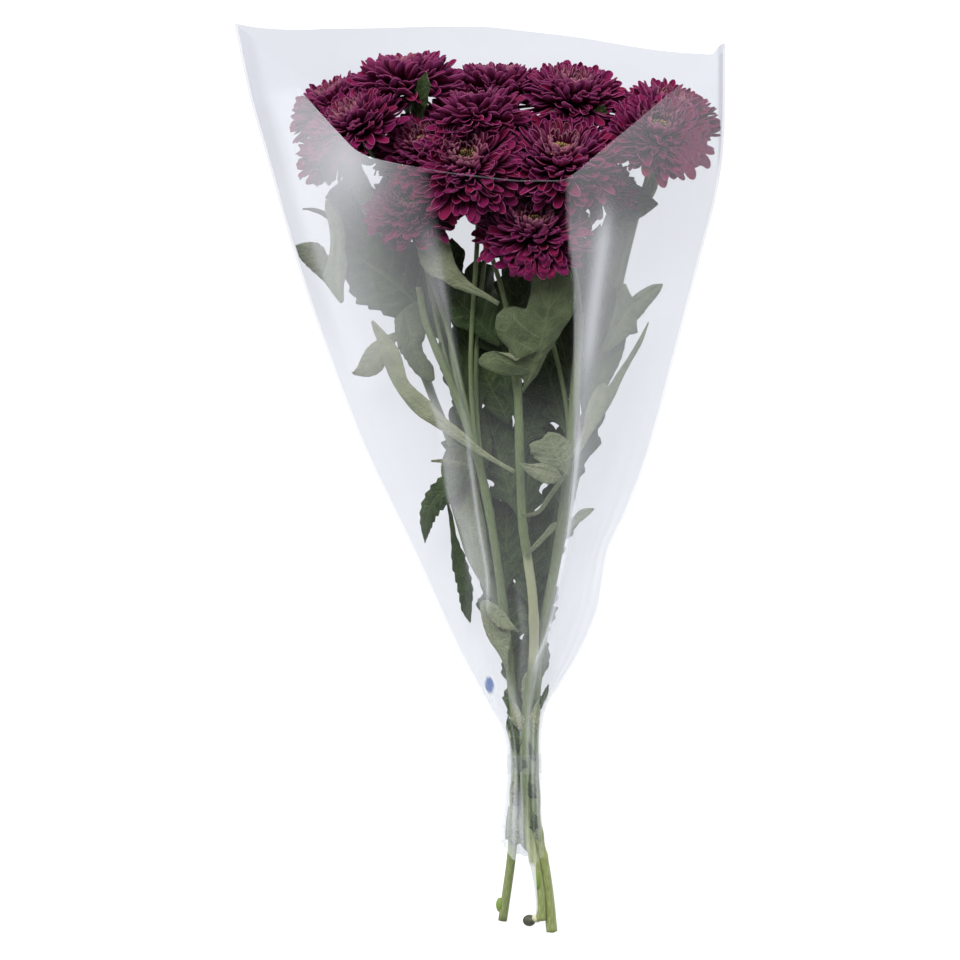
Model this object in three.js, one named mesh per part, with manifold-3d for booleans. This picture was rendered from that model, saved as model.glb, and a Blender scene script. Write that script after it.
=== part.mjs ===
// A florist's bunch of burgundy spray chrysanthemums in a clear film sleeve, lying on its back.
// Millimetres. +Y runs from the cut ends to the flowers, +X to the right as the front film is
// seen from above, +Z up. The origin is on the table, under the middle of the whole bunch.

import * as THREE from 'three';
import Module from 'manifold-3d';

// ---------------------------------------------------------------- driving dimensions

const WALL = 0.9;                // film sleeve, thicker than real film so that it is a solid
const SEAT_GAP = 0.3;            // clearance between two pieces that touch
const HEM_Y = -233;              // lower end of the sleeve
const NECK_X = 27.3;             // middle of the gathered neck
const NECK_Z = 12.6;
const NECK_RADIUS = 11.3;        // outside of the film at the neck
const WELD = 4;                  // width of the welded side seams

const TAPE_LOW_Y = -185.4;       // clear tape that holds the neck
const TAPE_HIGH_Y = -173.6;
const TAPE_THICKNESS = 0.6;
const TAPE_SIDES = 24;

const STEM_SIDES = 6;
const BRANCH_RADIUS = 1.5;
const LEAF_THICKNESS = 1.1;
const CUP_RADIUS = 7.6;          // green cup under each flower head
const CUP_DEPTH = 10;

// Left and right side of the sleeve, as [y, x], from the hem to the top corners.
const LEFT_SIDE = [
  [-233, 14.4], [-217, 14], [-192, 16], [-168, 16], [-155, 12.4], [-142, 6], [-130, 0],
  [-105, -13.3], [-43, -42.5], [19, -72.2], [81, -95.8], [143, -116.3], [205, -133.6],
  [236, -142.3], [282, -152],
];
const RIGHT_SIDE = [
  [-233, 42.4], [-217, 40.2], [-192, 38.6], [-164, 38.6], [-142, 41], [-130, 47.4], [-105, 61.7],
  [-81, 71.6], [-68, 74.1], [-43, 78.4], [-19, 89.6], [19, 103.9], [81, 120.6], [143, 137.3],
  [180, 147.3], [217, 151.6], [270, 152],
];

// Folds where the flat middle of the front film turns down to the sides, as [y, x].
const LEFT_FOLD = [
  [-233, 27], [-155, 26], [-105, 14], [-59, 5.9], [-24, -0.3], [43, -9.6], [124, -23.3],
  [187, -34], [282, -48],
];
const RIGHT_FOLD = [
  [-233, 28], [-155, 29], [-136, 31], [-99, 39], [-45, 52.4], [12, 58.6], [50, 61.7],
  [130, 62.3], [187, 63], [282, 64],
];

// Heights along the sleeve, as [y, z]: front film, welded sides, back film.
const FRONT_HEIGHT = [
  [-233, 24.1], [-192, 23.8], [-155, 24], [-120, 32], [-60, 50], [0, 69], [60, 86], [120, 102],
  [187, 117], [282, 122],
];
const SIDE_HEIGHT = [
  [-233, 12.6], [-155, 12.6], [-100, 17], [0, 31], [100, 45], [200, 55], [282, 58],
];
const BACK_HEIGHT = [[-233, 1.1], [-192, 1.3], [-155, 1.1], [-120, 0.4], [-95, 0], [282, 0]];

// How round the slopes are, as [y, share]: a circle at the neck, flatter films above.
const ROUNDNESS = [[-233, 1], [-150, 1], [-95, 0.6], [282, 0.6]];

// Middle of the back film that lies flat on the table: half its width, as [y, mm].
const FLAT_HALF = [[-233, 1.2], [-155, 1.5], [-95, 9], [0, 28], [100, 52], [200, 76], [282, 84]];

// Cut edge of the front film and of the back film, as [x, y].
const FRONT_EDGE = [
  [-152, 282], [-110, 243], [-93, 220], [-80, 208], [-68, 201.5], [-50, 197], [-31, 192], [0, 188],
  [31, 184.8], [52, 184.8], [63, 189], [80, 207], [99, 224], [117, 243], [152, 268],
];
const BACK_EDGE = [[-152, 282], [-100, 279.5], [0, 278.5], [50, 279], [110, 274], [152, 268]];

// Rows along the film: fixed ones through the neck, then even shares up to the cut edge.
const LOW_ROWS = [-233, -192, -167, -154, -142, -124, -95, -48];
const HIGH_ROWS = 5;

// Five spray stems, each a curve through [x, y, z] from its cut end to its last fork.
const STEMS = [
  { radius: 2.9, path: [[23.2, -228, 7.4], [23.9, -195, 7.4], [23.9, -150, 7.4],
    [14, -92, 10], [-10, 0, 15], [-40, 78, 22], [-58, 128, 28]] },
  { radius: 2.8, path: [[13.8, -274, 10.5], [18.6, -240, 12.4], [21.7, -204, 13.8],
    [21.7, -150, 13.8], [14, -100, 22], [-1, -40, 36], [-16, 30, 46], [-30, 96, 52]] },
  { radius: 3, path: [[36, -276, 13], [30.4, -240, 17], [27.3, -208, 18.2],
    [27.3, -150, 18.2], [26, -100, 26], [26, -40, 40], [24, 30, 50], [14, 100, 54]] },
  { radius: 3.5, path: [[46, -281.2, 8.6], [37.4, -242, 12], [33.2, -212, 13.6],
    [32.9, -150, 13.8], [39, -100, 20], [51, -30, 32], [58, 40, 43], [58, 104, 50]] },
  { radius: 2.9, path: [[31.2, -230, 7.4], [30.7, -195, 7.4], [30.7, -150, 7.4],
    [40, -92, 9], [60, 0, 14], [80, 80, 20], [88, 130, 26]] },
];

// Flower heads: the stem that carries each, the height y of its fork, the middle of the head
// [x, y, z], and the way it faces: lean from +Y up to +Z and turn from +Y to +X, in degrees.
const HEADS = [
  { name: '01', stem: 0, fork: 120, at: [-88, 246.6, 37], lean: 22, turn: -24, size: 0.9 },
  { name: '02', stem: 0, fork: 96, at: [-42, 254.4, 57], lean: 34, turn: -4, size: 1 },
  { name: '03', stem: 1, fork: 66, at: [-79, 222, 80.5], lean: 42, turn: -28, size: 1 },
  { name: '04', stem: 0, fork: 76, at: [-94, 204.4, 49.5], lean: 34, turn: -26, size: 0.93 },
  { name: '05', stem: 2, fork: 60, at: [3.5, 249.5, 34], lean: 16, turn: 0, size: 1 },
  { name: '06', stem: 2, fork: 92, at: [-5, 231.5, 81], lean: 30, turn: -6, size: 0.9 },
  { name: '07', stem: 4, fork: 96, at: [57.6, 243, 50.5], lean: 30, turn: 6, size: 1 },
  { name: '08', stem: 2, fork: 96, at: [-8, 189, 91], lean: 54, turn: -4, size: 1.03 },
  { name: '09', stem: 1, fork: 92, at: [-44.8, 210.6, 59.6], lean: 30, turn: -8, size: 0.77 },
  { name: '10', stem: 3, fork: 96, at: [51, 204, 84], lean: 42, turn: 4, size: 1 },
  { name: '11', stem: 1, fork: 88, at: [-45, 166, 78], lean: 50, turn: -12, size: 0.95 },
  { name: '12', stem: 3, fork: 78, at: [36, 156, 86], lean: 50, turn: -2, size: 1.02 },
  { name: '13', stem: 4, fork: 118, at: [109, 240, 47], lean: 28, turn: 14, size: 0.95 },
  { name: '14', stem: 4, fork: 90, at: [109, 207, 75], lean: 40, turn: 14, size: 1 },
  { name: '15', stem: 3, fork: 98, at: [76, 182, 51], lean: 34, turn: 14, size: 0.9 },
  { name: '16', stem: 2, fork: 84, at: [24, 212, 46], lean: 26, turn: 4, size: 0.85 },
];

// Layers of petals in a head of size 1, from the lowest to the topmost: how many, then
// radius and height at the root, along the rib, at the shoulders and at the tip.
const LAYERS = [
  { count: 12, root: [8, 2], rib: [17, 5], shoulder: [24, 1.5], tip: [30, -2.6] },
  { count: 11, root: [7.6, 6], rib: [15, 10], shoulder: [21, 9], tip: [26.6, 6.5] },
  { count: 10, root: [7.2, 9.6], rib: [12.5, 14.4], shoulder: [16.5, 15.6], tip: [21, 16.5] },
  { count: 7, root: [6.6, 13], rib: [9, 16.8], shoulder: [11.4, 20], tip: [13.6, 23.4] },
];
const PETAL_HALF = 0.6;          // half the thickness of a petal
const HEAD_MIDDLE = 10;          // height of a head's middle over its base
const DISC_RADIUS = 4.7;
const DISC_HEIGHT = 4;
const DISC_SIDES = 10;

// Leaves: the stem, where on it (y), the bend and the tip [x, y, z], the greatest width, and
// how far the blade rolls about its rib from lying level, in degrees. The first are the large
// ones of the front, then the left side, the right side and the dense middle.
const LEAVES = [
  { stem: 2, at: 52, bend: [36, 84, 76], tip: [48, 132, 84], width: 50, roll: 10 },
  { stem: 1, at: 66, bend: [-18, 100, 72], tip: [-32, 152, 66], width: 40, roll: -20 },
  { stem: 1, at: -6, bend: [-34, 26, 54], tip: [-66, 98, 60], width: 30, roll: -24 },
  { stem: 3, at: -30, bend: [34, -4, 52], tip: [22, 14, 62], width: 32, roll: 0 },
  { stem: 3, at: -40, bend: [72, 36, 54], tip: [104, 96, 48], width: 24, roll: 30 },
  { stem: 3, at: 30, bend: [84, 70, 54], tip: [113, 120, 48], width: 38, roll: 16 },
  { stem: 2, at: -128, bend: [15, -108, 27.5], tip: [4, -80, 34], width: 20, roll: -10 },

  { stem: 0, at: 24, bend: [-50, 64, 26], tip: [-82, 116, 34], width: 46, roll: -12 },
  { stem: 0, at: 74, bend: [-72, 112, 30], tip: [-105, 146, 46], width: 28, roll: 10 },
  { stem: 0, at: 60, bend: [-66, 64, 28], tip: [-77, 60, 35], width: 24, roll: 0 },
  { stem: 0, at: 100, bend: [-76, 136, 22], tip: [-94, 176, 24], width: 26, roll: 10 },
  { stem: 1, at: -30, bend: [-30, 8, 38], tip: [-37, -38, 28], width: 25, roll: 25 },
  { stem: 0, at: -22, bend: [-20, -30, 12], tip: [-8, -86, 10], width: 22, roll: 20 },

  { stem: 4, at: 84, bend: [92, 120, 26], tip: [108, 164, 30], width: 34, roll: 14 },
  { stem: 4, at: -40, bend: [66, -6, 16], tip: [76, 34, 23], width: 24, roll: -10 },
  { stem: 4, at: -66, bend: [64, -44, 14], tip: [70, -20, 22], width: 14, roll: 30 },
  { stem: 4, at: 20, bend: [80, 50, 20], tip: [90, 88, 26], width: 24, roll: -12 },

  { stem: 2, at: -64, bend: [14, -30, 46], tip: [2, 14, 56], width: 26, roll: -34 },
  { stem: 2, at: 10, bend: [8, 40, 58], tip: [-6, 84, 62], width: 28, roll: -40 },
  { stem: 3, at: -76, bend: [54, -50, 34], tip: [62, -10, 46], width: 20, roll: 44 },
  { stem: 0, at: -84, bend: [-4, -60, 10], tip: [-14, -16, 8], width: 22, roll: 0 },
  { stem: 0, at: 40, bend: [-22, 80, 14], tip: [-8, 118, 14], width: 30, roll: 0 },
  { stem: 2, at: 40, bend: [30, 70, 36], tip: [34, 112, 32], width: 30, roll: 20 },
  { stem: 1, at: 40, bend: [-34, 70, 40], tip: [-52, 116, 46], width: 26, roll: -50 },
];

// ---------------------------------------------------------------- small tools

const wasm = await Module();
wasm.setup();

// Seeded random numbers from 0 to 1.
function seededRandom(seed) {
  let state = seed;
  return () => {
    state = (state * 1664525 + 1013904223) % 4294967296;
    return state / 4294967296;
  };
}

// Value of a table of [key, value] rows at a key, smooth between rows and flat past its ends.
function along(table, key) {
  if (key <= table[0][0]) return table[0][1];
  const last = table.length - 1;
  if (key >= table[last][0]) return table[last][1];
  let i = 0;
  while (table[i + 1][0] < key) i += 1;
  const slope = (j) => {
    if (j <= 0 || j >= last) return null;
    return (table[j + 1][1] - table[j - 1][1]) / (table[j + 1][0] - table[j - 1][0]);
  };
  const [k0, v0] = table[i];
  const [k1, v1] = table[i + 1];
  const chord = (v1 - v0) / (k1 - k0);
  const limit = (m) => (m === null || m * chord <= 0 ? 0 : Math.sign(chord)
    * Math.min(Math.abs(m), 3 * Math.abs(chord)));
  const m0 = i === 0 ? chord : limit(slope(i));
  const m1 = i + 1 === last ? chord : limit(slope(i + 1));
  const t = (key - k0) / (k1 - k0);
  const h = k1 - k0;
  return v0 * (2 * t ** 3 - 3 * t ** 2 + 1) + m0 * h * (t ** 3 - 2 * t ** 2 + t)
    + v1 * (3 * t ** 2 - 2 * t ** 3) + m1 * h * (t ** 3 - t ** 2);
}

// A growing closed mesh: points and triangles.
class Shape {
  constructor() {
    this.points = [];
    this.triangles = [];
  }

  point(v) {
    this.points.push(v.x, v.y, v.z);
    return this.points.length / 3 - 1;
  }

  face(a, b, c) {
    this.triangles.push(a, b, c);
  }

  // Two triangles with corners in order round the quad.
  quad(a, b, c, d) {
    this.face(a, b, c);
    this.face(a, c, d);
  }

  manifold() {
    const mesh = new wasm.Mesh({
      numProp: 3,
      vertProperties: new Float32Array(this.points),
      triVerts: new Uint32Array(this.triangles),
    });
    return new wasm.Manifold(mesh);
  }

  geometry() {
    const geometry = new THREE.BufferGeometry();
    geometry.setAttribute('position', new THREE.Float32BufferAttribute(this.points, 3));
    geometry.setIndex(this.triangles);
    geometry.computeVertexNormals();
    return geometry;
  }
}

function geometryOf(manifold) {
  const { vertProperties, triVerts } = manifold.getMesh();
  const geometry = new THREE.BufferGeometry();
  geometry.setAttribute('position', new THREE.Float32BufferAttribute(vertProperties, 3));
  geometry.setIndex(Array.from(triVerts));
  geometry.computeVertexNormals();
  return geometry;
}

// Joins solids into one body, and drops any loose scrap.
function fused(solids) {
  const whole = wasm.Manifold.union(solids);
  const bodies = whole.decompose();
  bodies.sort((a, b) => b.volume() - a.volume());
  return bodies[0];
}

const bunch = new THREE.Group();

function place(name, geometry, color, roughness) {
  const material = new THREE.MeshStandardMaterial({ color, roughness, metalness: 0 });
  const mesh = new THREE.Mesh(geometry, material);
  mesh.name = name;
  bunch.add(mesh);
  return mesh;
}

// A closed tube through points, with a radius at each.
function tube(points, radii, sides) {
  const shape = new Shape();
  const curve = new THREE.CatmullRomCurve3(points);
  const last = points.length - 1;
  const tangents = points.map((p, i) => curve.getTangent(i / last));
  let side = new THREE.Vector3(1, 0, 0);
  const rings = points.map((p, i) => {
    const tangent = tangents[i];
    side = side.clone().addScaledVector(tangent, -side.dot(tangent)).normalize();
    const up = tangent.clone().cross(side);
    const ring = [];
    for (let k = 0; k < sides; k += 1) {
      const turn = (2 * Math.PI * k) / sides;
      const v = p.clone().addScaledVector(side, radii[i] * Math.cos(turn));
      ring.push(shape.point(v.addScaledVector(up, radii[i] * Math.sin(turn))));
    }
    return ring;
  });
  for (let i = 0; i < last; i += 1) {
    for (let k = 0; k < sides; k += 1) {
      const n = (k + 1) % sides;
      shape.quad(rings[i][k], rings[i][n], rings[i + 1][n], rings[i + 1][k]);
    }
  }
  for (let k = 1; k < sides - 1; k += 1) {
    shape.face(rings[0][0], rings[0][k + 1], rings[0][k]);
    shape.face(rings[last][0], rings[last][k], rings[last][k + 1]);
  }
  return shape.manifold();
}

// ---------------------------------------------------------------- film sleeve

// Shares of the way from a seam to the fold where the section has points.
const SLOPE_SHARES = [0.05, 0.15, 0.3, 0.48, 0.7, 1];
const FLAT_SHARES = [1 / 3, 2 / 3];

// Height share over a slope: steep at the seam, level at the fold.
function rise(share, roundness) {
  const round = Math.sqrt(1 - (1 - share) ** 2);
  const straight = 1 - (1 - share) ** 1.6;
  return roundness * round + (1 - roundness) * straight;
}

// One point of the outside of the film, for a height y and a place round the section.
function filmPoint(place, y) {
  const left = along(LEFT_SIDE, y);
  const right = along(RIGHT_SIDE, y);
  const seam = along(SIDE_HEIGHT, y);
  const weld = Math.min(WELD, 0.02 * (right - left));
  const foldLeft = place.front ? along(LEFT_FOLD, y) : (left + right) / 2 - along(FLAT_HALF, y);
  const foldRight = place.front ? along(RIGHT_FOLD, y) : (left + right) / 2 + along(FLAT_HALF, y);
  const level = place.front ? along(FRONT_HEIGHT, y) : along(BACK_HEIGHT, y);
  const lip = (place.front ? 1 : -1) * Math.min(0.9, 0.4 + 0.12 * weld);
  if (place.kind === 'flat') {
    const x = foldRight + (foldLeft - foldRight) * place.share;
    return new THREE.Vector3(x, y, level);
  }
  const edge = place.right ? right : left;
  const fold = place.right ? foldRight : foldLeft;
  const inward = Math.sign(fold - edge);
  if (place.kind === 'seam') return new THREE.Vector3(edge, y, seam);
  const start = edge + inward * weld;
  const x = start + (fold - start) * place.share;
  const height = (level - seam - lip) * rise(place.share, along(ROUNDNESS, y));
  return new THREE.Vector3(x, y, seam + lip + height);
}

// The places round the section, from the right seam over the front and back under the bunch.
function filmPlaces() {
  const slope = (front, right) => [0, ...SLOPE_SHARES]
    .map((share) => ({ kind: 'slope', front, right, share }));
  const flat = (front, shares) => shares.map((share) => ({ kind: 'flat', front, share }));
  return [
    { kind: 'seam', front: true, right: true },
    ...slope(true, true), ...flat(true, FLAT_SHARES), ...slope(true, false).reverse(),
    { kind: 'seam', front: true, right: false },
    ...slope(false, false), ...flat(false, [...FLAT_SHARES].reverse()),
    ...slope(false, true).reverse(),
  ];
}

// Where the cut edge crosses a place's line, found by stepping towards it.
function edgeHeight(place) {
  const table = place.front ? FRONT_EDGE : BACK_EDGE;
  let y = 230;
  for (let step = 0; step < 40; step += 1) {
    y += 0.6 * (along(table, filmPoint(place, y).x) - y);
  }
  return y;
}

function sleeve() {
  const shape = new Shape();
  const places = filmPlaces();
  const count = places.length;
  const tops = places.map(edgeHeight);
  const rows = LOW_ROWS.length + HIGH_ROWS;
  const lowTop = LOW_ROWS[LOW_ROWS.length - 1];
  const outside = [];
  const inside = [];
  for (let row = 0; row < rows; row += 1) {
    const share = (row - LOW_ROWS.length + 1) / HIGH_ROWS;
    const ring = places.map((spot, k) => {
      const y = row < LOW_ROWS.length ? LOW_ROWS[row] : lowTop + share * (tops[k] - lowTop);
      return filmPoint(spot, y);
    });
    outside.push(ring.map((v) => shape.point(v)));
    inside.push(ring.map((v, k) => {
      const before = ring[(k + count - 1) % count];
      const after = ring[(k + 1) % count];
      const inward = new THREE.Vector3(-(after.z - before.z), 0, after.x - before.x).normalize();
      const depth = places[k].kind === 'seam' ? Math.abs(after.x - v.x) + 1.2 * WALL : WALL;
      if (places[k].share === 0 && places[k].kind === 'slope') {
        const seam = ring[places[k].right ? 0 : count / 2];
        const inset = Math.abs(v.x - seam.x) + 1.5 * WALL;
        const x = seam.x + Math.sign(v.x - seam.x) * inset;
        return shape.point(new THREE.Vector3(x, v.y, seam.z + 0.4 * (v.z - seam.z)));
      }
      return shape.point(v.clone().addScaledVector(inward, depth));
    }));
  }
  for (let row = 0; row < rows - 1; row += 1) {
    for (let k = 0; k < count; k += 1) {
      const n = (k + 1) % count;
      shape.quad(outside[row][k], outside[row + 1][k], outside[row + 1][n], outside[row][n]);
      shape.quad(inside[row][k], inside[row][n], inside[row + 1][n], inside[row + 1][k]);
    }
  }
  for (let k = 0; k < count; k += 1) {
    const n = (k + 1) % count;
    shape.quad(outside[0][k], outside[0][n], inside[0][n], inside[0][k]);
    const last = rows - 1;
    shape.quad(outside[last][k], inside[last][k], inside[last][n], outside[last][n]);
  }
  return shape.geometry();
}

function neckTape() {
  const inner = NECK_RADIUS + SEAT_GAP + 0.2;
  const outer = inner + TAPE_THICKNESS;
  const profile = [[inner, TAPE_LOW_Y], [outer, TAPE_LOW_Y], [outer, TAPE_HIGH_Y],
    [inner, TAPE_HIGH_Y], [inner, TAPE_LOW_Y]].map(([r, y]) => new THREE.Vector2(r, y));
  return new THREE.LatheGeometry(profile, TAPE_SIDES);
}

// ---------------------------------------------------------------- flower heads

// The way a head faces.
function facing(head) {
  const lean = THREE.MathUtils.degToRad(head.lean);
  const turn = THREE.MathUtils.degToRad(head.turn);
  return new THREE.Vector3(
    Math.sin(turn) * Math.cos(lean),
    Math.cos(turn) * Math.cos(lean),
    Math.sin(lean),
  );
}

// Base of a head: the point where its green cup meets it.
function headBase(head) {
  return new THREE.Vector3(...head.at).addScaledVector(facing(head), -HEAD_MIDDLE * head.size);
}

// Joins two rings of points round the axis into a wall, whatever their counts.
function zip(shape, low, high) {
  let a = 0;
  let b = 0;
  while (a < low.length || b < high.length) {
    const nextLow = (a + 1) / low.length;
    const nextHigh = (b + 1) / high.length;
    const l = low[a % low.length];
    const h = high[b % high.length];
    if (b >= high.length || (a < low.length && nextLow <= nextHigh)) {
      shape.face(l, low[(a + 1) % low.length], h);
      a += 1;
    } else {
      shape.face(l, high[(b + 1) % high.length], h);
      b += 1;
    }
  }
}

// All petals of one head as one closed body: layers of blades standing out of a small core.
function petals(head, seed) {
  const shape = new Shape();
  const random = seededRandom(seed);
  const spread = (amount) => amount * (2 * random() - 1);
  const polar = (radius, turn, z) => new THREE.Vector3(
    radius * head.size * Math.cos(turn),
    radius * head.size * Math.sin(turn),
    z * head.size,
  );
  const rings = LAYERS.map((layer) => {
    const pitch = (2 * Math.PI) / layer.count;
    const lower = [];
    const upper = [];
    for (let i = 0; i < layer.count; i += 1) {
      const turn = (i - 0.5) * pitch;
      lower.push(shape.point(polar(layer.root[0], turn, layer.root[1] - PETAL_HALF)));
      upper.push(shape.point(polar(layer.root[0], turn, layer.root[1] + PETAL_HALF)));
    }
    for (let i = 0; i < layer.count; i += 1) {
      const n = (i + 1) % layer.count;
      const turn = i * pitch;
      const lift = spread(1.2);
      const reach = 1 + spread(0.04);
      const half = 0.43 * pitch;
      const tipTurn = turn + spread(0.1 * pitch);
      const ribTop = shape.point(polar(layer.rib[0], turn, layer.rib[1] + PETAL_HALF));
      const ribLow = shape.point(polar(layer.rib[0], turn, layer.rib[1] - PETAL_HALF));
      const right = shape.point(polar(layer.shoulder[0], turn - half, layer.shoulder[1] + lift / 2));
      const tip = shape.point(polar(layer.tip[0] * reach, tipTurn, layer.tip[1] + lift));
      const left = shape.point(polar(layer.shoulder[0], turn + half, layer.shoulder[1] + lift / 2));
      const around = [upper[i], right, tip, left, upper[n]];
      for (let k = 0; k < 4; k += 1) shape.face(around[k], around[k + 1], ribTop);
      shape.face(upper[n], upper[i], ribTop);
      const under = [lower[i], right, tip, left, lower[n]];
      for (let k = 0; k < 4; k += 1) shape.face(under[k + 1], under[k], ribLow);
      shape.face(lower[i], lower[n], ribLow);
      shape.face(lower[i], right, upper[i]);
      shape.face(left, lower[n], upper[n]);
    }
    return { lower, upper };
  });
  for (let i = 0; i < rings.length - 1; i += 1) zip(shape, rings[i].upper, rings[i + 1].lower);
  const bottom = rings[0].lower;
  const top = rings[rings.length - 1].upper;
  for (let k = 1; k < bottom.length - 1; k += 1) shape.face(bottom[0], bottom[k + 1], bottom[k]);
  for (let k = 1; k < top.length - 1; k += 1) shape.face(top[0], top[k], top[k + 1]);
  return shape.geometry();
}

// Button of tube florets in the middle: a low dome with points standing up in turn.
function disc(head) {
  const shape = new Shape();
  const ring = (radius, height) => {
    const points = [];
    for (let k = 0; k < DISC_SIDES; k += 1) {
      const turn = (2 * Math.PI * k) / DISC_SIDES;
      const z = height(k);
      points.push(shape.point(new THREE.Vector3(
        radius * head.size * Math.cos(turn),
        radius * head.size * Math.sin(turn),
        z * head.size,
      )));
    }
    return points;
  };
  const low = ring(DISC_RADIUS, () => 0);
  const middle = ring(0.7 * DISC_RADIUS, (k) => (k % 2 ? 0.9 : 0.6) * DISC_HEIGHT);
  const crown = shape.point(new THREE.Vector3(0, 0, 0.8 * DISC_HEIGHT * head.size));
  for (let k = 0; k < DISC_SIDES; k += 1) {
    const n = (k + 1) % DISC_SIDES;
    shape.quad(low[k], low[n], middle[n], middle[k]);
    shape.face(middle[k], middle[n], crown);
  }
  for (let k = 1; k < DISC_SIDES - 1; k += 1) shape.face(low[0], low[k + 1], low[k]);
  return shape.geometry();
}

// Turns a mesh made about +Z to face as its head does, with its base at the head's base.
function seatOnHead(mesh, head, height) {
  const axis = facing(head);
  mesh.quaternion.setFromUnitVectors(new THREE.Vector3(0, 0, 1), axis);
  mesh.position.copy(headBase(head)).addScaledVector(axis, height);
}

// ---------------------------------------------------------------- leafy stems

function vectors(rows) {
  return rows.map((row) => new THREE.Vector3(...row));
}

// The point of a stem's curve at a height y.
function stemAt(stem, y) {
  const curve = new THREE.CatmullRomCurve3(vectors(stem.path));
  let low = 0;
  let high = 1;
  for (let step = 0; step < 40; step += 1) {
    const middle = (low + high) / 2;
    if (curve.getPoint(middle).y < y) low = middle;
    else high = middle;
  }
  return { point: curve.getPoint(low), tangent: curve.getTangent(low) };
}

// Half widths of a lobed blade as shares of its greatest width, along its rib, with how far
// each outline point leans towards the tip.
const LEAF_OUTLINE = [
  [0.1, 0.05, 0], [0.26, 0.09, 0], [0.36, 0.34, 0.06], [0.44, 0.2, 0], [0.55, 0.5, 0.08],
  [0.64, 0.26, 0], [0.78, 0.36, 0.08], [0.84, 0.18, 0],
];

// A thin lobed blade, arched along its rib, with its stalk sunk in the stem.
function leafBlade(stem, leaf) {
  const shape = new Shape();
  const root = stemAt(stem, leaf.at).point;
  const rib = new THREE.QuadraticBezierCurve3(
    root,
    new THREE.Vector3(...leaf.bend),
    new THREE.Vector3(...leaf.tip),
  );
  const roll = THREE.MathUtils.degToRad(leaf.roll);
  const frame = (t) => {
    const tangent = rib.getTangent(t);
    const level = new THREE.Vector3(tangent.y, -tangent.x, 0).normalize();
    const up = level.clone().cross(tangent);
    const side = level.multiplyScalar(Math.cos(roll)).addScaledVector(up, Math.sin(roll));
    return { side, up: side.clone().cross(tangent) };
  };
  const rows = LEAF_OUTLINE.map(([t, share, lean]) => {
    const { side, up } = frame(t);
    const middle = rib.getPoint(t);
    const half = share * leaf.width;
    const out = rib.getPoint(Math.min(1, t + lean)).addScaledVector(up, -0.12 * half);
    return {
      top: shape.point(middle.clone().addScaledVector(up, LEAF_THICKNESS / 2)),
      low: shape.point(middle.clone().addScaledVector(up, -LEAF_THICKNESS / 2)),
      right: shape.point(out.clone().addScaledVector(side, half)),
      left: shape.point(out.clone().addScaledVector(side, -half)),
    };
  });
  const tip = shape.point(rib.getPoint(1));
  const start = shape.point(root);
  for (let i = 0; i < rows.length - 1; i += 1) {
    const a = rows[i];
    const b = rows[i + 1];
    shape.quad(a.top, a.right, b.right, b.top);
    shape.quad(a.left, a.top, b.top, b.left);
    shape.quad(a.right, a.low, b.low, b.right);
    shape.quad(a.low, a.left, b.left, b.low);
  }
  const first = rows[0];
  const last = rows[rows.length - 1];
  shape.face(first.right, first.top, start);
  shape.face(first.top, first.left, start);
  shape.face(first.left, first.low, start);
  shape.face(first.low, first.right, start);
  shape.face(last.top, last.right, tip);
  shape.face(last.left, last.top, tip);
  shape.face(last.right, last.low, tip);
  shape.face(last.low, last.left, tip);
  return shape.manifold();
}

// Branch from its fork on the stem to the green cup that carries a head.
function branch(stem, head) {
  const { point, tangent } = stemAt(stem, head.fork);
  const axis = facing(head);
  const seat = headBase(head).addScaledVector(
    axis,
    (LAYERS[0].root[1] - PETAL_HALF) * head.size - SEAT_GAP,
  );
  const neck = seat.clone().addScaledVector(axis, -CUP_DEPTH);
  const reach = 0.4 * point.distanceTo(neck);
  const curve = new THREE.CubicBezierCurve3(
    point,
    point.clone().addScaledVector(tangent, reach),
    neck.clone().addScaledVector(axis, -reach),
    neck,
  );
  const steps = 5;
  const points = [];
  const radii = [];
  for (let i = 0; i <= steps; i += 1) {
    points.push(curve.getPoint(i / steps));
    radii.push(BRANCH_RADIUS);
  }
  points.push(seat.clone().addScaledVector(axis, -0.45 * CUP_DEPTH), seat);
  radii.push(0.62 * CUP_RADIUS * head.size, CUP_RADIUS * head.size);
  return tube(points, radii, STEM_SIDES);
}

function leafyStem(stem, index) {
  const curve = new THREE.CatmullRomCurve3(vectors(stem.path));
  const steps = 12;
  const points = curve.getPoints(steps);
  const radii = points.map((p, i) => stem.radius * (1 - 0.35 * Math.max(0, i / steps - 0.4)));
  const solids = [tube(points, radii, STEM_SIDES)];
  HEADS.filter((head) => head.stem === index).forEach((head) => solids.push(branch(stem, head)));
  LEAVES.filter((leaf) => leaf.stem === index).forEach((leaf) => solids.push(leafBlade(stem, leaf)));
  return geometryOf(fused(solids));
}

// ---------------------------------------------------------------- the bunch

place('sleeve', sleeve(), 0xe6eaf1, 0.2);

const tape = place('neck_tape', neckTape(), 0xd5dadc, 0.3);
tape.position.set(NECK_X, 0, NECK_Z);

STEMS.forEach((stem, index) => place(`stem_${index + 1}`, leafyStem(stem, index), 0x4d5c3c, 0.7));

HEADS.forEach((head, index) => {
  seatOnHead(place(`bloom_${head.name}`, petals(head, 11 + index), 0x58123a, 0.8), head, 0);
  const top = LAYERS[LAYERS.length - 1].root[1] + PETAL_HALF;
  seatOnHead(place(`disc_${head.name}`, disc(head), 0x6a5a1e, 0.9), head, top * head.size + SEAT_GAP);
});

export default bunch;
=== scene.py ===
"""A florist's bunch of burgundy spray chrysanthemums in a clear film sleeve, lying on its back.

The tables are in millimetres: +Y runs from the cut ends to the flowers, +X to the right as the
front film is seen from above, +Z up. Every mesh is worked out in millimetres and made in metres.
"""

import math

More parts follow.
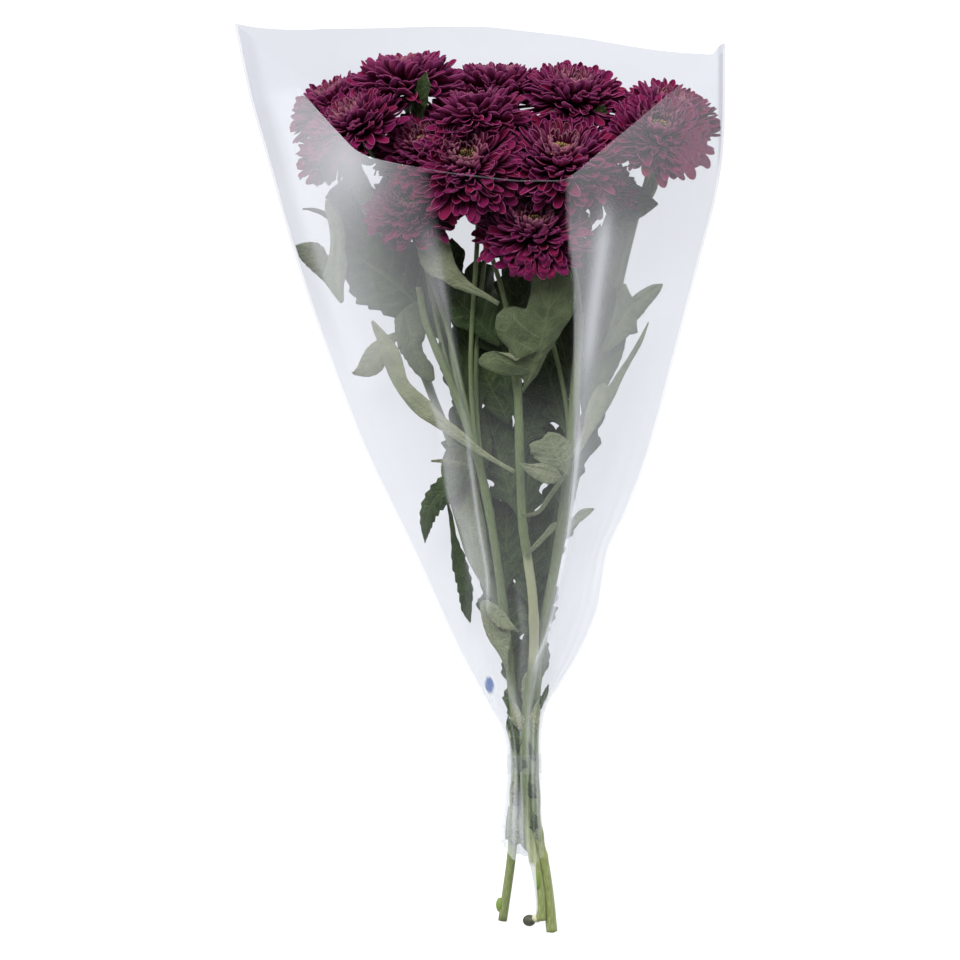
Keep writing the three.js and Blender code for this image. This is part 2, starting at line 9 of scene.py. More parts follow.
import bpy
import numpy as np
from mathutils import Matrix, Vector


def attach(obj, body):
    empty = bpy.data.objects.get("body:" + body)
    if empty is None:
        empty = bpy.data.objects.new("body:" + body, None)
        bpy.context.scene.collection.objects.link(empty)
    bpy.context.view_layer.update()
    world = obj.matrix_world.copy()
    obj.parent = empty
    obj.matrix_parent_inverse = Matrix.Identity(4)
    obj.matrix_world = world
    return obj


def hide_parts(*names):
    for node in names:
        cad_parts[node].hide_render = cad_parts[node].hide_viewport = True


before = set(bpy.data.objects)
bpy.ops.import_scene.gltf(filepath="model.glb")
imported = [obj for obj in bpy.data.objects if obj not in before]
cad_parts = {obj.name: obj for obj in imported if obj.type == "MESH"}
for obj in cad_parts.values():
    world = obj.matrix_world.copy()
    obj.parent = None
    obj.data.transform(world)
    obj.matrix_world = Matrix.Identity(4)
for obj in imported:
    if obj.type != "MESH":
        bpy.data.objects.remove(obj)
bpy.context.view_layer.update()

MM = 0.001

# ------------------------------------------------------------------ driving dimensions

HEM_Y = -239
NECK_X, NECK_Z = 28.1, 12.6
WELD = 1.2
FILM = 0.22                      # thickness of the film
TAPE_LOW_Y, TAPE_HIGH_Y = -185.4, -173.6
TAPE_RADIUS, TAPE_THICKNESS = 10.8, 0.28
BRANCH_RADIUS = 1.5
CUP_DEPTH = 10                   # of the green cup under a head
HEAD_MIDDLE = 10                 # height of a head's middle over its base
VEIN_PAIRS, VEIN_SLANT = 8.5, 0.16   # side veins along a leaf, and how far they lean to its tip
SLEEVE_SEED, TAPE_SEED, BLOOM_SEED, DISC_SEED, STEM_SEED = 5, 8, 100, 300, 40

# Left and right side of the sleeve, as [y, x], from the hem to the top corners.
LEFT_SIDE = [
    [-229, 13.4], [-217, 13.8], [-202, 15.8], [-190, 16.9], [-177, 17.1], [-164, 15.8],
    [-155, 12.9], [-142, 5], [-130, -1.5], [-105, -14.8], [-43, -42.8], [19, -72.2], [81, -95.8],
    [143, -116.3], [205, -133.6], [236, -142.3], [282, -152],
]
RIGHT_SIDE = [
    [-239, 41.4], [-221, 39.8], [-200, 38.7], [-164, 38.5], [-142, 42.4], [-130, 50.8],
    [-105, 65.4], [-81, 75], [-68, 77.2], [-43, 81.6], [-19, 92.6], [19, 106.2], [81, 122.4],
    [143, 138.3], [180, 147.5], [217, 151.7], [270, 152],
]

# Folds where the flat middle of the front film turns down to the sides, as [y, x].
LEFT_FOLD = [
    [-233, 27], [-155, 26], [-105, 14], [-59, 5.9], [-24, -0.3], [43, -9.6], [124, -23.3],
    [187, -34], [282, -48],
]
RIGHT_FOLD = [
    [-233, 28], [-155, 29], [-136, 31], [-99, 39], [-45, 52.4], [12, 58.6], [50, 61.7],
    [130, 62.3], [187, 63], [282, 64],
]

# Heights along the sleeve, as [y, z]: front film, welded sides, back film.
FRONT_HEIGHT = [
    [-233, 24.1], [-192, 22.9], [-155, 23.2], [-120, 32], [-60, 50], [0, 69], [60, 86], [120, 102],
    [187, 117], [282, 122],
]
SIDE_HEIGHT = [
    [-233, 12.6], [-155, 12.6], [-100, 17], [0, 31], [100, 45], [200, 55], [282, 58],
]
BACK_HEIGHT = [
    [-233, 1.1], [-192, 2.2], [-155, 1.9], [-120, 0.4], [-95, 0], [252, 0], [266, 6], [284, 32],
]

# How round the slopes are, as [y, share], and half the width of the back film that lies flat.
ROUNDNESS = [[-233, 1], [-150, 1], [-95, 0.6], [282, 0.6]]
FLAT_HALF = [[-233, 1.2], [-155, 1.5], [-95, 9], [0, 28], [100, 52], [200, 76], [282, 84]]

# Cut edge of the front film and of the back film, as [x, y].
FRONT_EDGE = [
    [-152, 282], [-128, 262], [-107, 234.7], [-84, 208.6], [-74, 198.8], [-60, 193],
    [-24, 186], [0, 183], [24, 180.5], [48, 180.5], [57, 184.7], [72, 197.4], [96, 217.8],
    [120, 239], [152, 266],
]
BACK_EDGE = [
    [-152, 282.4], [-136, 281.6], [-112, 282], [-94, 283], [-63, 283.4], [-31, 284.3], [0, 284.3],
    [31, 281.6], [62, 278.5], [87, 275], [112, 271], [137, 266.6], [145, 265], [148, 269],
    [152, 270.5],
]

# Creases of the front film, as [y, x], with their height and half width.
CREASES = [
    ([[-170, 36], [-136, 35.5], [-99, 40], [-45, 53], [12, 58.6], [50, 61.7], [187, 63]], 1.7, 3.2),
    ([[-59, 5.9], [-36, 1.5], [12, -4], [43, -9.6], [70, -16], [124, -23.3]], 1.5, 2.6),
    ([[-136, 18.3], [-63, -2.2], [-26, -11.5], [-4, -30], [60, -52], [130, -66]], 1.1, 2.4),
    ([[-140, 24], [-100, 27], [-60, 22], [-20, 12]], 0.8, 2.2),
]

# Gathers of the film: how far they stand out along the sleeve, as [y, mm].
PLEATS = [
    [-270, 0.3], [-233, 1.1], [-200, 0.9], [-187, 0.25], [-172, 0.25], [-160, 1.2], [-135, 1.7],
    [-100, 1.5], [-50, 0.9], [20, 0.6], [120, 0.7], [282, 0.9],
]

# Five spray stems, each a curve through [x, y, z] from its cut end to its last fork.
STEMS = [
    (2.9, [[23.2, -228, 7.4], [23.9, -195, 7.4], [23.9, -150, 7.4], [14, -92, 10],
           [-10, 0, 15], [-40, 78, 22], [-58, 128, 28]]),
    (2.8, [[14.2, -279, 10.5], [20, -236, 12.6], [22, -204, 13.2], [21.7, -150, 13.4],
           [17, -101, 22], [10.7, -50.5, 34], [4.4, -12.6, 40], [-3, 18.6, 45], [-17.2, 58, 49],
           [-33.5, 97.5, 52], [-38, 120, 53]]),
    (3.1, [[38.6, -278.5, 12.6], [38, -262, 13.8], [35.4, -246, 16], [29.6, -214, 16.8],
           [29.5, -150, 17], [33.6, -110, 25], [33, -75, 33], [29.5, -48, 38], [26.6, -28, 41],
           [25, 5, 46], [23, 60, 50], [17, 104, 54]]),
    (3.5, [[45.4, -286, 8.6], [43.4, -266, 9.8], [40.6, -246, 11.4], [35.2, -218, 13.4],
           [33.3, -150, 13.8], [39, -100, 18], [51, -30, 28], [58, 40, 40], [62, 104, 48]]),
    (2.9, [[31.2, -230, 7.4], [30.7, -195, 7.4], [30.7, -150, 7.4], [40, -92, 9], [60, 0, 14],
           [80, 80, 20], [88, 130, 26]]),
]

# Flower heads: name, stem, height y of the fork, middle [x, y, z], lean from +Y up to +Z and turn
# from +Y to +X in degrees, size.
HEADS = [
    ("01", 0, 120, [-91, 234.5, 42], 18, -24, 0.94),
    ("02", 0, 96, [-46, 247.5, 57], 8, -4, 1.13),
    ("03", 1, 0, [-77.5, 218.5, 82], 27, -32, 0.98),
    ("04", 0, 20, [-88.5, 206.5, 49.5], 32, -26, 0.86),
    ("05", 1, -16, [10.5, 245, 38], 10, 2, 1.04),
    ("06", 1, 0, [-3.5, 225, 71], 9, -4, 1.04),
    ("07", 4, -30, [57.6, 239.5, 50.5], 25, 6, 1.06),
    ("08", 2, 96, [-8, 193.5, 92], 55, -8, 1.13),
    ("09", 1, 30, [-34, 204, 81], 50, -20, 0.94),
    ("10", 3, 96, [49.4, 197.5, 84], 43, 2, 1.16),
    ("11", 1, 40, [-41.5, 167.5, 78], 50, -14, 0.92),
    ("12", 3, 6, [33.2, 154, 86], 46, -2, 1.07),
    ("13", 4, 118, [117, 229.5, 47], 25, 16, 0.98),
    ("14", 4, 90, [109.3, 213.5, 75], 45, 12, 1.03),
    ("15", 3, 36, [73, 184, 51], 38, 10, 0.78),
    ("16", 2, 20, [24, 212, 46], 26, 4, 0.9),
]

# Leaves in front, drawn one by one: stem, paleness of the face seen, how far the rib bows up,
# heights z of root and tip, depth of the teeth, and stations from root to tip as [x, y] of the rib,
# of one edge and of the other.
FRONT_LEAVES = [
    (2, 0.33, 3, 62, 86, 0.03, [
        [26, 54.4, 25.3, 55, 26.6, 53.8], [28.4, 59.3, 27.2, 59.9, 29.6, 58.1],
        [30.2, 63.6, 24.1, 64.2, 32.7, 61.7], [31.5, 66, 15.4, 64.2, 34.5, 63.5],
        [32.7, 68.4, 3.7, 68.4, 36.4, 66.6], [33.3, 70.9, -1.2, 72.7, 37.6, 69],
        [34.5, 73.3, 2.5, 78.2, 38.8, 72], [35.1, 75.7, 10.5, 78.8, 40, 74.5],
        [36.3, 78.1, 19.7, 74.4, 41.8, 78.1], [36.9, 80.5, 22.7, 73.2, 43.6, 80.5],
        [38.1, 84.2, 16, 82.3, 46.1, 84.8], [38.7, 87.8, 11.1, 87.8, 48.5, 88.4],
        [39.9, 92.1, 9.2, 96.3, 51.5, 93.3], [40.5, 96.3, 12.3, 103.7, 54.6, 97.5],
        [41.1, 99.9, 20.8, 106.7, 57, 101.1], [41.7, 103.5, 27.6, 104.8, 58.2, 106.6],
        [42.2, 107.8, 29.4, 108.4, 58.8, 111.4], [43.4, 115, 31.2, 116.9, 57.5, 118.1],
        [44, 122.3, 32.4, 124.8, 56.3, 125.4], [45.2, 129.6, 38.5, 130.8, 52.6, 130.8],
        [45.8, 133.8, 44, 133.2, 47.6, 133.2]]),
    (2, 0.95, 1.5, 60, 62, 0.05, [
        [21.6, 4.9, 21, 3.7, 22.3, 6.2], [10.5, 11.1, 9.9, 9.9, 11.1, 12.4],
        [-1.2, 18.6, -2.5, 16.7, 0, 20.4], [-13.6, 28.4, -16.1, 25.4, -11.7, 30.9],
        [-24.1, 35.2, -26.6, 32.2, -21, 38.3], [-35.9, 43.9, -39.6, 40.8, -30.9, 48.8],
        [-44.5, 51.9, -48.2, 50.7, -38.9, 55.6], [-49.5, 60, -53.8, 59.3, -44.5, 61.8],
        [-52.5, 69.2, -58.1, 68.6, -47, 70.5], [-55.6, 77.9, -61.2, 77.9, -49.4, 78.5],
        [-59.3, 85.3, -63, 84.7, -53.8, 85.9], [-63.7, 92.1, -65.5, 90.8, -59.9, 92.7],
        [-66.7, 98.3, -67.4, 97.6, -66.1, 98.9]]),
    (0, 0.8, 1, 30, 28, 0.06, [
        [-50.2, 92.9, -50.8, 91.6, -49.6, 94.1], [-56.5, 86, -55.2, 81.6, -62.7, 89.1],
        [-62.8, 79.7, -59, 72.8, -70.3, 83.5], [-69.1, 74.1, -63.4, 67.2, -74.7, 76.6],
        [-74.1, 69.7, -70.3, 64.7, -77.2, 70.9], [-79.8, 66.6, -79.1, 65.9, -80.4, 67.2]]),
    (2, 0.92, 2, 76, 82, 0.06, [
        [11.7, 108, 11, 106.8, 12.3, 109.3], [3.1, 112.9, 1.8, 111.7, 4.9, 114.1],
        [-6.1, 117.8, -8.6, 115.3, -3.1, 119], [-13.5, 122, -17.2, 118.4, -8.6, 123.9],
        [-18.4, 126.9, -23.3, 122.6, -12.3, 128.1], [-22.1, 132.4, -30.6, 125.6, -15.3, 133.6],
        [-24.5, 138.5, -35.5, 131.1, -17.2, 140.3], [-26.3, 144.6, -38, 140.3, -19, 146.4],
        [-26.9, 150.6, -33.1, 148.8, -22, 151.9], [-26.9, 155.5, -30, 154.3, -24.5, 155.5],
        [-26.9, 159.7, -27.5, 159.1, -26.3, 159.7]]),
    (2, 0.03, 2, 52, 54, 0.05, [
        [12.4, 83.8, 11.8, 82.6, 13, 85.1], [6.2, 90, 2.5, 86.9, 11.8, 96.2],
        [-1.2, 98.1, -6.2, 91.9, 10.6, 109.9], [-8.7, 106.7, -15.5, 96.2, 1.2, 115.4],
        [-15.5, 113.6, -20.5, 105.5, -8.7, 119.1], [-21.1, 119.1, -23.6, 114.2, -16.8, 122.2],
        [-24.8, 122.8, -25.4, 122.2, -24.2, 123.4]]),
    (1, 0.05, 3, 42, 44, 0.16, [
        [-21.2, 87.3, -22.5, 86.1, -20, 88.6], [-29.9, 99.8, -37.4, 93.6, -21.8, 109.2],
        [-40.5, 111, -51.1, 99.2, -24.9, 124.7], [-49.9, 119.7, -63.6, 105.4, -32.4, 138.4],
        [-59.2, 127.2, -76.1, 110.4, -43.6, 149.6], [-68.6, 133.4, -82.3, 121.6, -57.4, 152.1],
        [-76.7, 139.6, -84.1, 134, -69.8, 149.6], [-82.3, 144.6, -83.5, 143.3, -79.8, 145.8]]),
    (1, 0.42, 1.5, 46, 42, 0.12, [
        [-47.3, 107.1, -53.5, 99.6, -37.4, 113.3], [-44.8, 96.5, -52.3, 88.4, -33.6, 102.1],
        [-43, 88.5, -50.5, 81, -33.6, 91], [-41.1, 81, -47.4, 76.7, -36.1, 83.5],
        [-37.4, 73.6, -43, 69.8, -33, 76.1], [-33.1, 67.4, -36.8, 63.6, -29.3, 71.1],
        [-29.3, 61.8, -30.6, 61.1, -28.1, 63]]),
    (0, 1, 2, 46, 52, 0.12, [
        [-85.9, 110.2, -87.2, 110.2, -84.7, 111.5], [-88.4, 118.3, -93.4, 118.3, -84.7, 120.8],
        [-89.6, 126.9, -97.7, 126.3, -83.4, 126.9], [-89.6, 135.6, -95.2, 135.6, -82.1, 134.4],
        [-88.9, 144.3, -93.3, 143.6, -83.9, 143], [-88.9, 151.7, -93.2, 151.7, -83.3, 150.4],
        [-90.1, 160.3, -94.4, 160.3, -85.1, 160.3], [-91.9, 167.7, -96.3, 167.7, -88.2, 168.3],
        [-95.6, 173.8, -96.2, 173.2, -94.4, 173.8]]),
    (0, 0.8, 2, 38, 50, 0.1, [
        [-91.3, 118.8, -91.9, 118.1, -90.6, 119.4], [-96.1, 127.4, -99.3, 125.5, -93, 131.1],
        [-101, 135.3, -105.4, 131, -94.8, 139.7], [-106.5, 140.8, -110.3, 135.8, -99.7, 147],
        [-111.4, 143.7, -113.9, 140.6, -107, 148.1], [-115.6, 145.4, -115.6, 144.8, -115, 146]]),
    (0, 0.3, 3, 34, 46, 0.22, [
        [-55.1, 112.7, -57.6, 110.2, -52.6, 115.2], [-63.8, 128.2, -76.3, 118.9, -52.6, 136.4],
        [-71.3, 145, -85, 138.8, -60, 152.5], [-76.8, 161.1, -87.4, 156.1, -69.3, 164.8],
        [-81.7, 174.7, -93, 170.9, -73.6, 178.4], [-84.8, 180.7, -96, 177, -76, 184.5],
        [-85.9, 186.8, -87.2, 186.2, -84.7, 187.4]]),
    (4, 0.5, 2.5, 48, 52, 0.1, [
        [77.1, 79.6, 75.9, 80.2, 78.4, 79], [82.1, 88.3, 79.6, 93.3, 85.8, 84],
        [86.4, 96.4, 82.7, 104.5, 93.3, 90.2], [90.8, 103.2, 85.2, 114.4, 97.6, 91.4],
        [95.1, 108.1, 90.1, 122.4, 97.6, 98.8], [98.2, 111.2, 93.8, 113.7, 101.3, 103.2],
        [101.3, 113.7, 97.5, 116.2, 104.4, 107.5], [105.6, 116.8, 102.5, 119.3, 108.1, 111.8],
        [109.9, 119.9, 108.1, 121.7, 111.8, 116.8], [113.6, 121.7, 113, 121.7, 113.6, 121.1]]),
    (4, 0.35, 2, 38, 44, 0.08, [
        [68.8, 48.8, 67.5, 49.4, 70, 48.1], [72.5, 57.5, 69.3, 58.7, 78.1, 56.2],
        [75.6, 66.2, 71.2, 68.7, 82.4, 63.7], [79.3, 74.9, 74.3, 78, 86.8, 72.4],
        [82.3, 83, 77.4, 86.1, 89.8, 81.1], [85.4, 89.2, 81.7, 92.9, 91, 88.5],
        [88.5, 94.1, 87.3, 94.7, 90.4, 93.5]]),
    (2, 0.78, 1.2, 54, 50, 0.1, [
        [47.1, -1.2, 46.5, -0.6, 47.8, -1.9], [55.8, 10.5, 54.6, 11.2, 57.1, 9.3],
        [62.1, 21.1, 60.2, 22.3, 63.9, 19.9], [66.4, 30.4, 63.9, 32.3, 69.5, 29.2],
        [70.2, 39.7, 65.8, 42.8, 75.1, 37.9], [73.3, 47.8, 68.9, 51.6, 78.3, 46],
        [75.8, 54.7, 72.7, 57.8, 79.5, 53.4], [78.3, 59.7, 77.1, 60.3, 79.5, 59]]),
    (2, 0.7, 1, 50, 48, 0.08, [
        [67.1, 29.8, 66.5, 30.5, 67.7, 29.2], [73.3, 41, 71.5, 42.9, 75.8, 38.5],
        [80.2, 52.8, 77.7, 54.7, 83.3, 51], [87, 64.7, 85.2, 66.5, 88.9, 63.4],
        [93.3, 75.2, 92, 76.5, 94.5, 74], [99.5, 86.5, 98.3, 87.1, 100.8, 85.2],
        [105.1, 98.3, 104.5, 98.3, 105.1, 97.7]]),
    (3, 0.95, 1.5, 58, 60, 0.1, [
        [50.8, 2.5, 50.1, 3.7, 51.4, 1.2], [46.4, 3.7, 47, 8, 47, -1.9],
        [41.5, 5, 42.7, 9.9, 41.5, -2.5],
        [35.9, 6.8, 37.1, 10.5, 35.3, 0], [30.3, 8.7, 31.6, 9.9, 29.1, 4.3],
        [24.1, 11.1, 24.7, 11.1, 24.1, 10.5]]),
    (3, 0.85, 2, 58, 60, 0.1, [
        [53.9, 2.5, 53.2, 3.1, 54.5, 2.5], [51.4, 8, 44.6, 7.4, 56.3, 11.1],
        [48.9, 13, 37.1, 11.1, 57.6, 17.3], [46.4, 17.9, 32.2, 15.5, 56.3, 22.9],
        [44.5, 22.9, 30.9, 22.3, 52, 26.6], [43.3, 26.6, 37.7, 25.4, 47.6, 29.1],
        [42.7, 29.7, 42.1, 29.7, 43.3, 29.7]]),
    (3, 0.5, 1, 54, 60, 0, [
        [26.1, -22.3, 25.4, -21.7, 26.7, -23.6], [36, -19.8, 35.3, -18.6, 36.6, -21.1],
        [42.7, -10.5, 41.5, -9.9, 44, -11.8], [48.3, -3.1, 47, -2.5, 49.5, -3.7],
        [53.2, 4.3, 52.6, 4.9, 54.4, 3.7]]),
    (1, 0, 1.2, 40, 30, 0.3, [
        [-6.2, 6.2, -6.2, 5.6, -6.2, 6.9], [-15.6, 0, -12.5, -6.2, -18.7, 5],
        [-23.1, -6.9, -18.8, -14.4, -27.5, -0.6], [-28.8, -13.1, -24.4, -19.4, -33.2, -7.5],
        [-32.6, -20.7, -28.2, -25, -36.9, -16.3], [-33.8, -28.2, -30.7, -30.7, -37.6, -25.7],
        [-34.5, -33.9, -32.6, -35.1, -36.4, -33.2], [-34.5, -39.5, -34.2, -38.9, -34.8, -38.9]]),
    (1, 0, 1.2, 30, 16, 0.3, [
        [-20.7, -12.5, -21.3, -12.5, -20.1, -12.5], [-18.2, -23.9, -19.5, -24.5, -17, -22.6],
        [-16.3, -37.7, -18.2, -39.6, -14.5, -35.8], [-13.8, -50.3, -17.6, -53.5, -9.4, -47.8],
        [-10.7, -61.7, -15.1, -64.2, -6.3, -58.6], [-8.8, -71.9, -13.2, -73.7, -4.4, -69.3],
        [-7.6, -80.8, -11.4, -82.7, -5, -78.9], [-6.3, -90.3, -6.9, -89.7, -5.7, -89.7]]),
    (1, 0.8, 0.5, 40, 38, 0, [
        [-6.2, 8.7, -6.2, 8.1, -6.2, 9.4], [-15, 11.2, -15, 10, -14.4, 11.9],
        [-22.5, 11.9, -23.1, 10.6, -22.5, 13.1], [-30.6, 11.9, -30.6, 11.3, -30.6, 12.5]]),
    (2, 1, 1.5, 30, 36, 0.08, [
        [17.6, -120.5, 16.9, -120.5, 18.2, -119.8], [14.4, -111, 11.9, -109.7, 17.6, -111],
        [10, -101.5, 5.6, -100.3, 18.8, -103.4], [6.9, -92.7, 2.5, -92.7, 19.4, -97.7],
        [5, -84.5, 0.6, -84.5, 15.7, -87.7], [3.8, -78.9, 0, -78.2, 12.5, -80.1],
        [2.5, -75.1, 1.3, -75.1, 5, -75.1]]),
    (2, 1, 1, 37, 39, 0.1, [
        [3.8, -78.8, 5, -76.3, 3.8, -82.5], [8.8, -82.5, 11.3, -78.8, 6.9, -87.5],
        [13.8, -86.9, 16.3, -83.8, 11.3, -91.9], [18.7, -91.2, 20, -89.4, 16.9, -93.7],
        [24.4, -95, 24.4, -94.3, 23.7, -95.6]]),
    (3, 0.95, 1, 34, 30, 0.08, [
        [52.6, -33.2, 52, -32.6, 53.2, -33.8], [57.6, -26.9, 57, -25.1, 59.5, -28.8],
        [62.7, -22.6, 62.7, -18.8, 64.6, -25.1], [67.1, -20.1, 67.1, -17.6, 68.4, -21.9],
        [71.5, -18.2, 71.5, -17.6, 71.5, -18.8]]),
    (2, 0.75, 0.6, 44, 46, 0, [
        [28, -47.4, 28, -46.7, 28.7, -48], [34.3, -41.1, 33, -40.5, 35.5, -42.4],
        [40.5, -34.9, 39.2, -33.6, 41.7, -36.1], [45.5, -29.3, 44.2, -27.4, 47.3, -29.9],
        [47.3, -26.2, 46.7, -26.2, 47.9, -26.2]]),
    (4, 0.1, 3, 44, 48, 0.08, [
        [74.8, 154.6, 74.8, 153.3, 74.8, 155.8], [82.2, 160.7, 80.4, 157, 81, 170.7],
        [89.7, 165.7, 87.2, 158.2, 88.4, 180.6], [97.1, 169.3, 95.2, 160.6, 97.1, 184.3],
        [103.3, 171.1, 102.7, 164.9, 103.3, 179.2], [110.7, 171.7, 110.7, 171.1, 110.7, 172.3]]),
    (4, 0.85, 1, 46, 50, 0.05, [
        [102.1, 171.2, 101.5, 171.2, 102.7, 171.2], [104.6, 176.8, 101.4, 177.4, 107.7, 176.1],
        [107, 184.1, 103.3, 185.4, 110.7, 183.5], [107.6, 190.3, 105.1, 191.5, 110.7, 189.6],
        [107.5, 195.1, 106.3, 195.1, 108.8, 195.1]]),
    (3, 0.12, 2, 34, 40, 0.08, [
        [66.4, 28.8, 65.8, 28.8, 67, 28.8], [68.8, 48.8, 62.6, 48.8, 74.5, 51.3],
        [71.3, 67.6, 61.3, 66.3, 78.8, 70.1], [73.2, 86.3, 61.3, 85, 82.5, 88.8],
        [75, 103.8, 62.5, 103.8, 86.3, 107.5], [76.2, 119.9, 67.5, 119.9, 83.1, 122.4],
        [76.8, 132.4, 76.2, 132.4, 77.4, 132.4]]),
    (2, 0.03, 2, 30, 34, 0.07, [
        [17.6, 35.1, 16.9, 35.1, 18.2, 35.1], [13.8, 45.2, 5, 43.9, 22.6, 47.7],
        [8.8, 53.9, 0, 51.4, 18.8, 57.7], [4.4, 62.6, -2.5, 60.1, 12.5, 67.7],
        [0, 71.4, -0.6, 70.8, 1.3, 72]]),
    (1, 0.05, 2, 28, 30, 0.07, [
        [3.8, 6.3, 3.1, 6.3, 4.4, 6.3], [0, 20.1, -6.3, 18.8, 7.5, 21.3],
        [-3.8, 32.6, -11.3, 31.4, 5, 35.1], [-7.5, 43.9, -12.6, 42.7, 0, 47.7],
        [-10, 52.7, -10.7, 52.1, -8.8, 53.3]]),
    (4, 0.45, 2, 34, 38, 0.1, [
        [77.6, 112.7, 76.4, 112.7, 78.9, 112.7], [82.6, 123.9, 72.6, 125.2, 88.3, 125.2],
        [86.4, 136.4, 75.1, 138.9, 90.7, 136.4], [88.8, 147, 76.3, 150.1, 94.5, 147.6],
        [88.8, 155.1, 78.8, 157.6, 96.3, 155.1], [88.8, 161.3, 80, 161.3, 96.3, 160.1],
        [88.8, 166.3, 87.5, 166.3, 90, 166.3]]),
    (0, 0.5, 1, 26, 32, 0, [
        [7.5, -75.3, 6.9, -75.3, 8.2, -75.3], [-1.3, -50.2, -7.5, -50.8, 5.6, -48.9],
        [-7.5, -28.2, -14.4, -29.5, 3.1, -26.4], [-12.5, -7.5, -20.1, -10, -1.3, -5],
        [-15.7, 7.5, -24.5, 6.3, -3.8, 10], [-16.3, 18.8, -21.3, 18.8, -10, 20.1],
        [-15.7, 23.2, -16.3, 23.2, -15.1, 23.2]]),
]

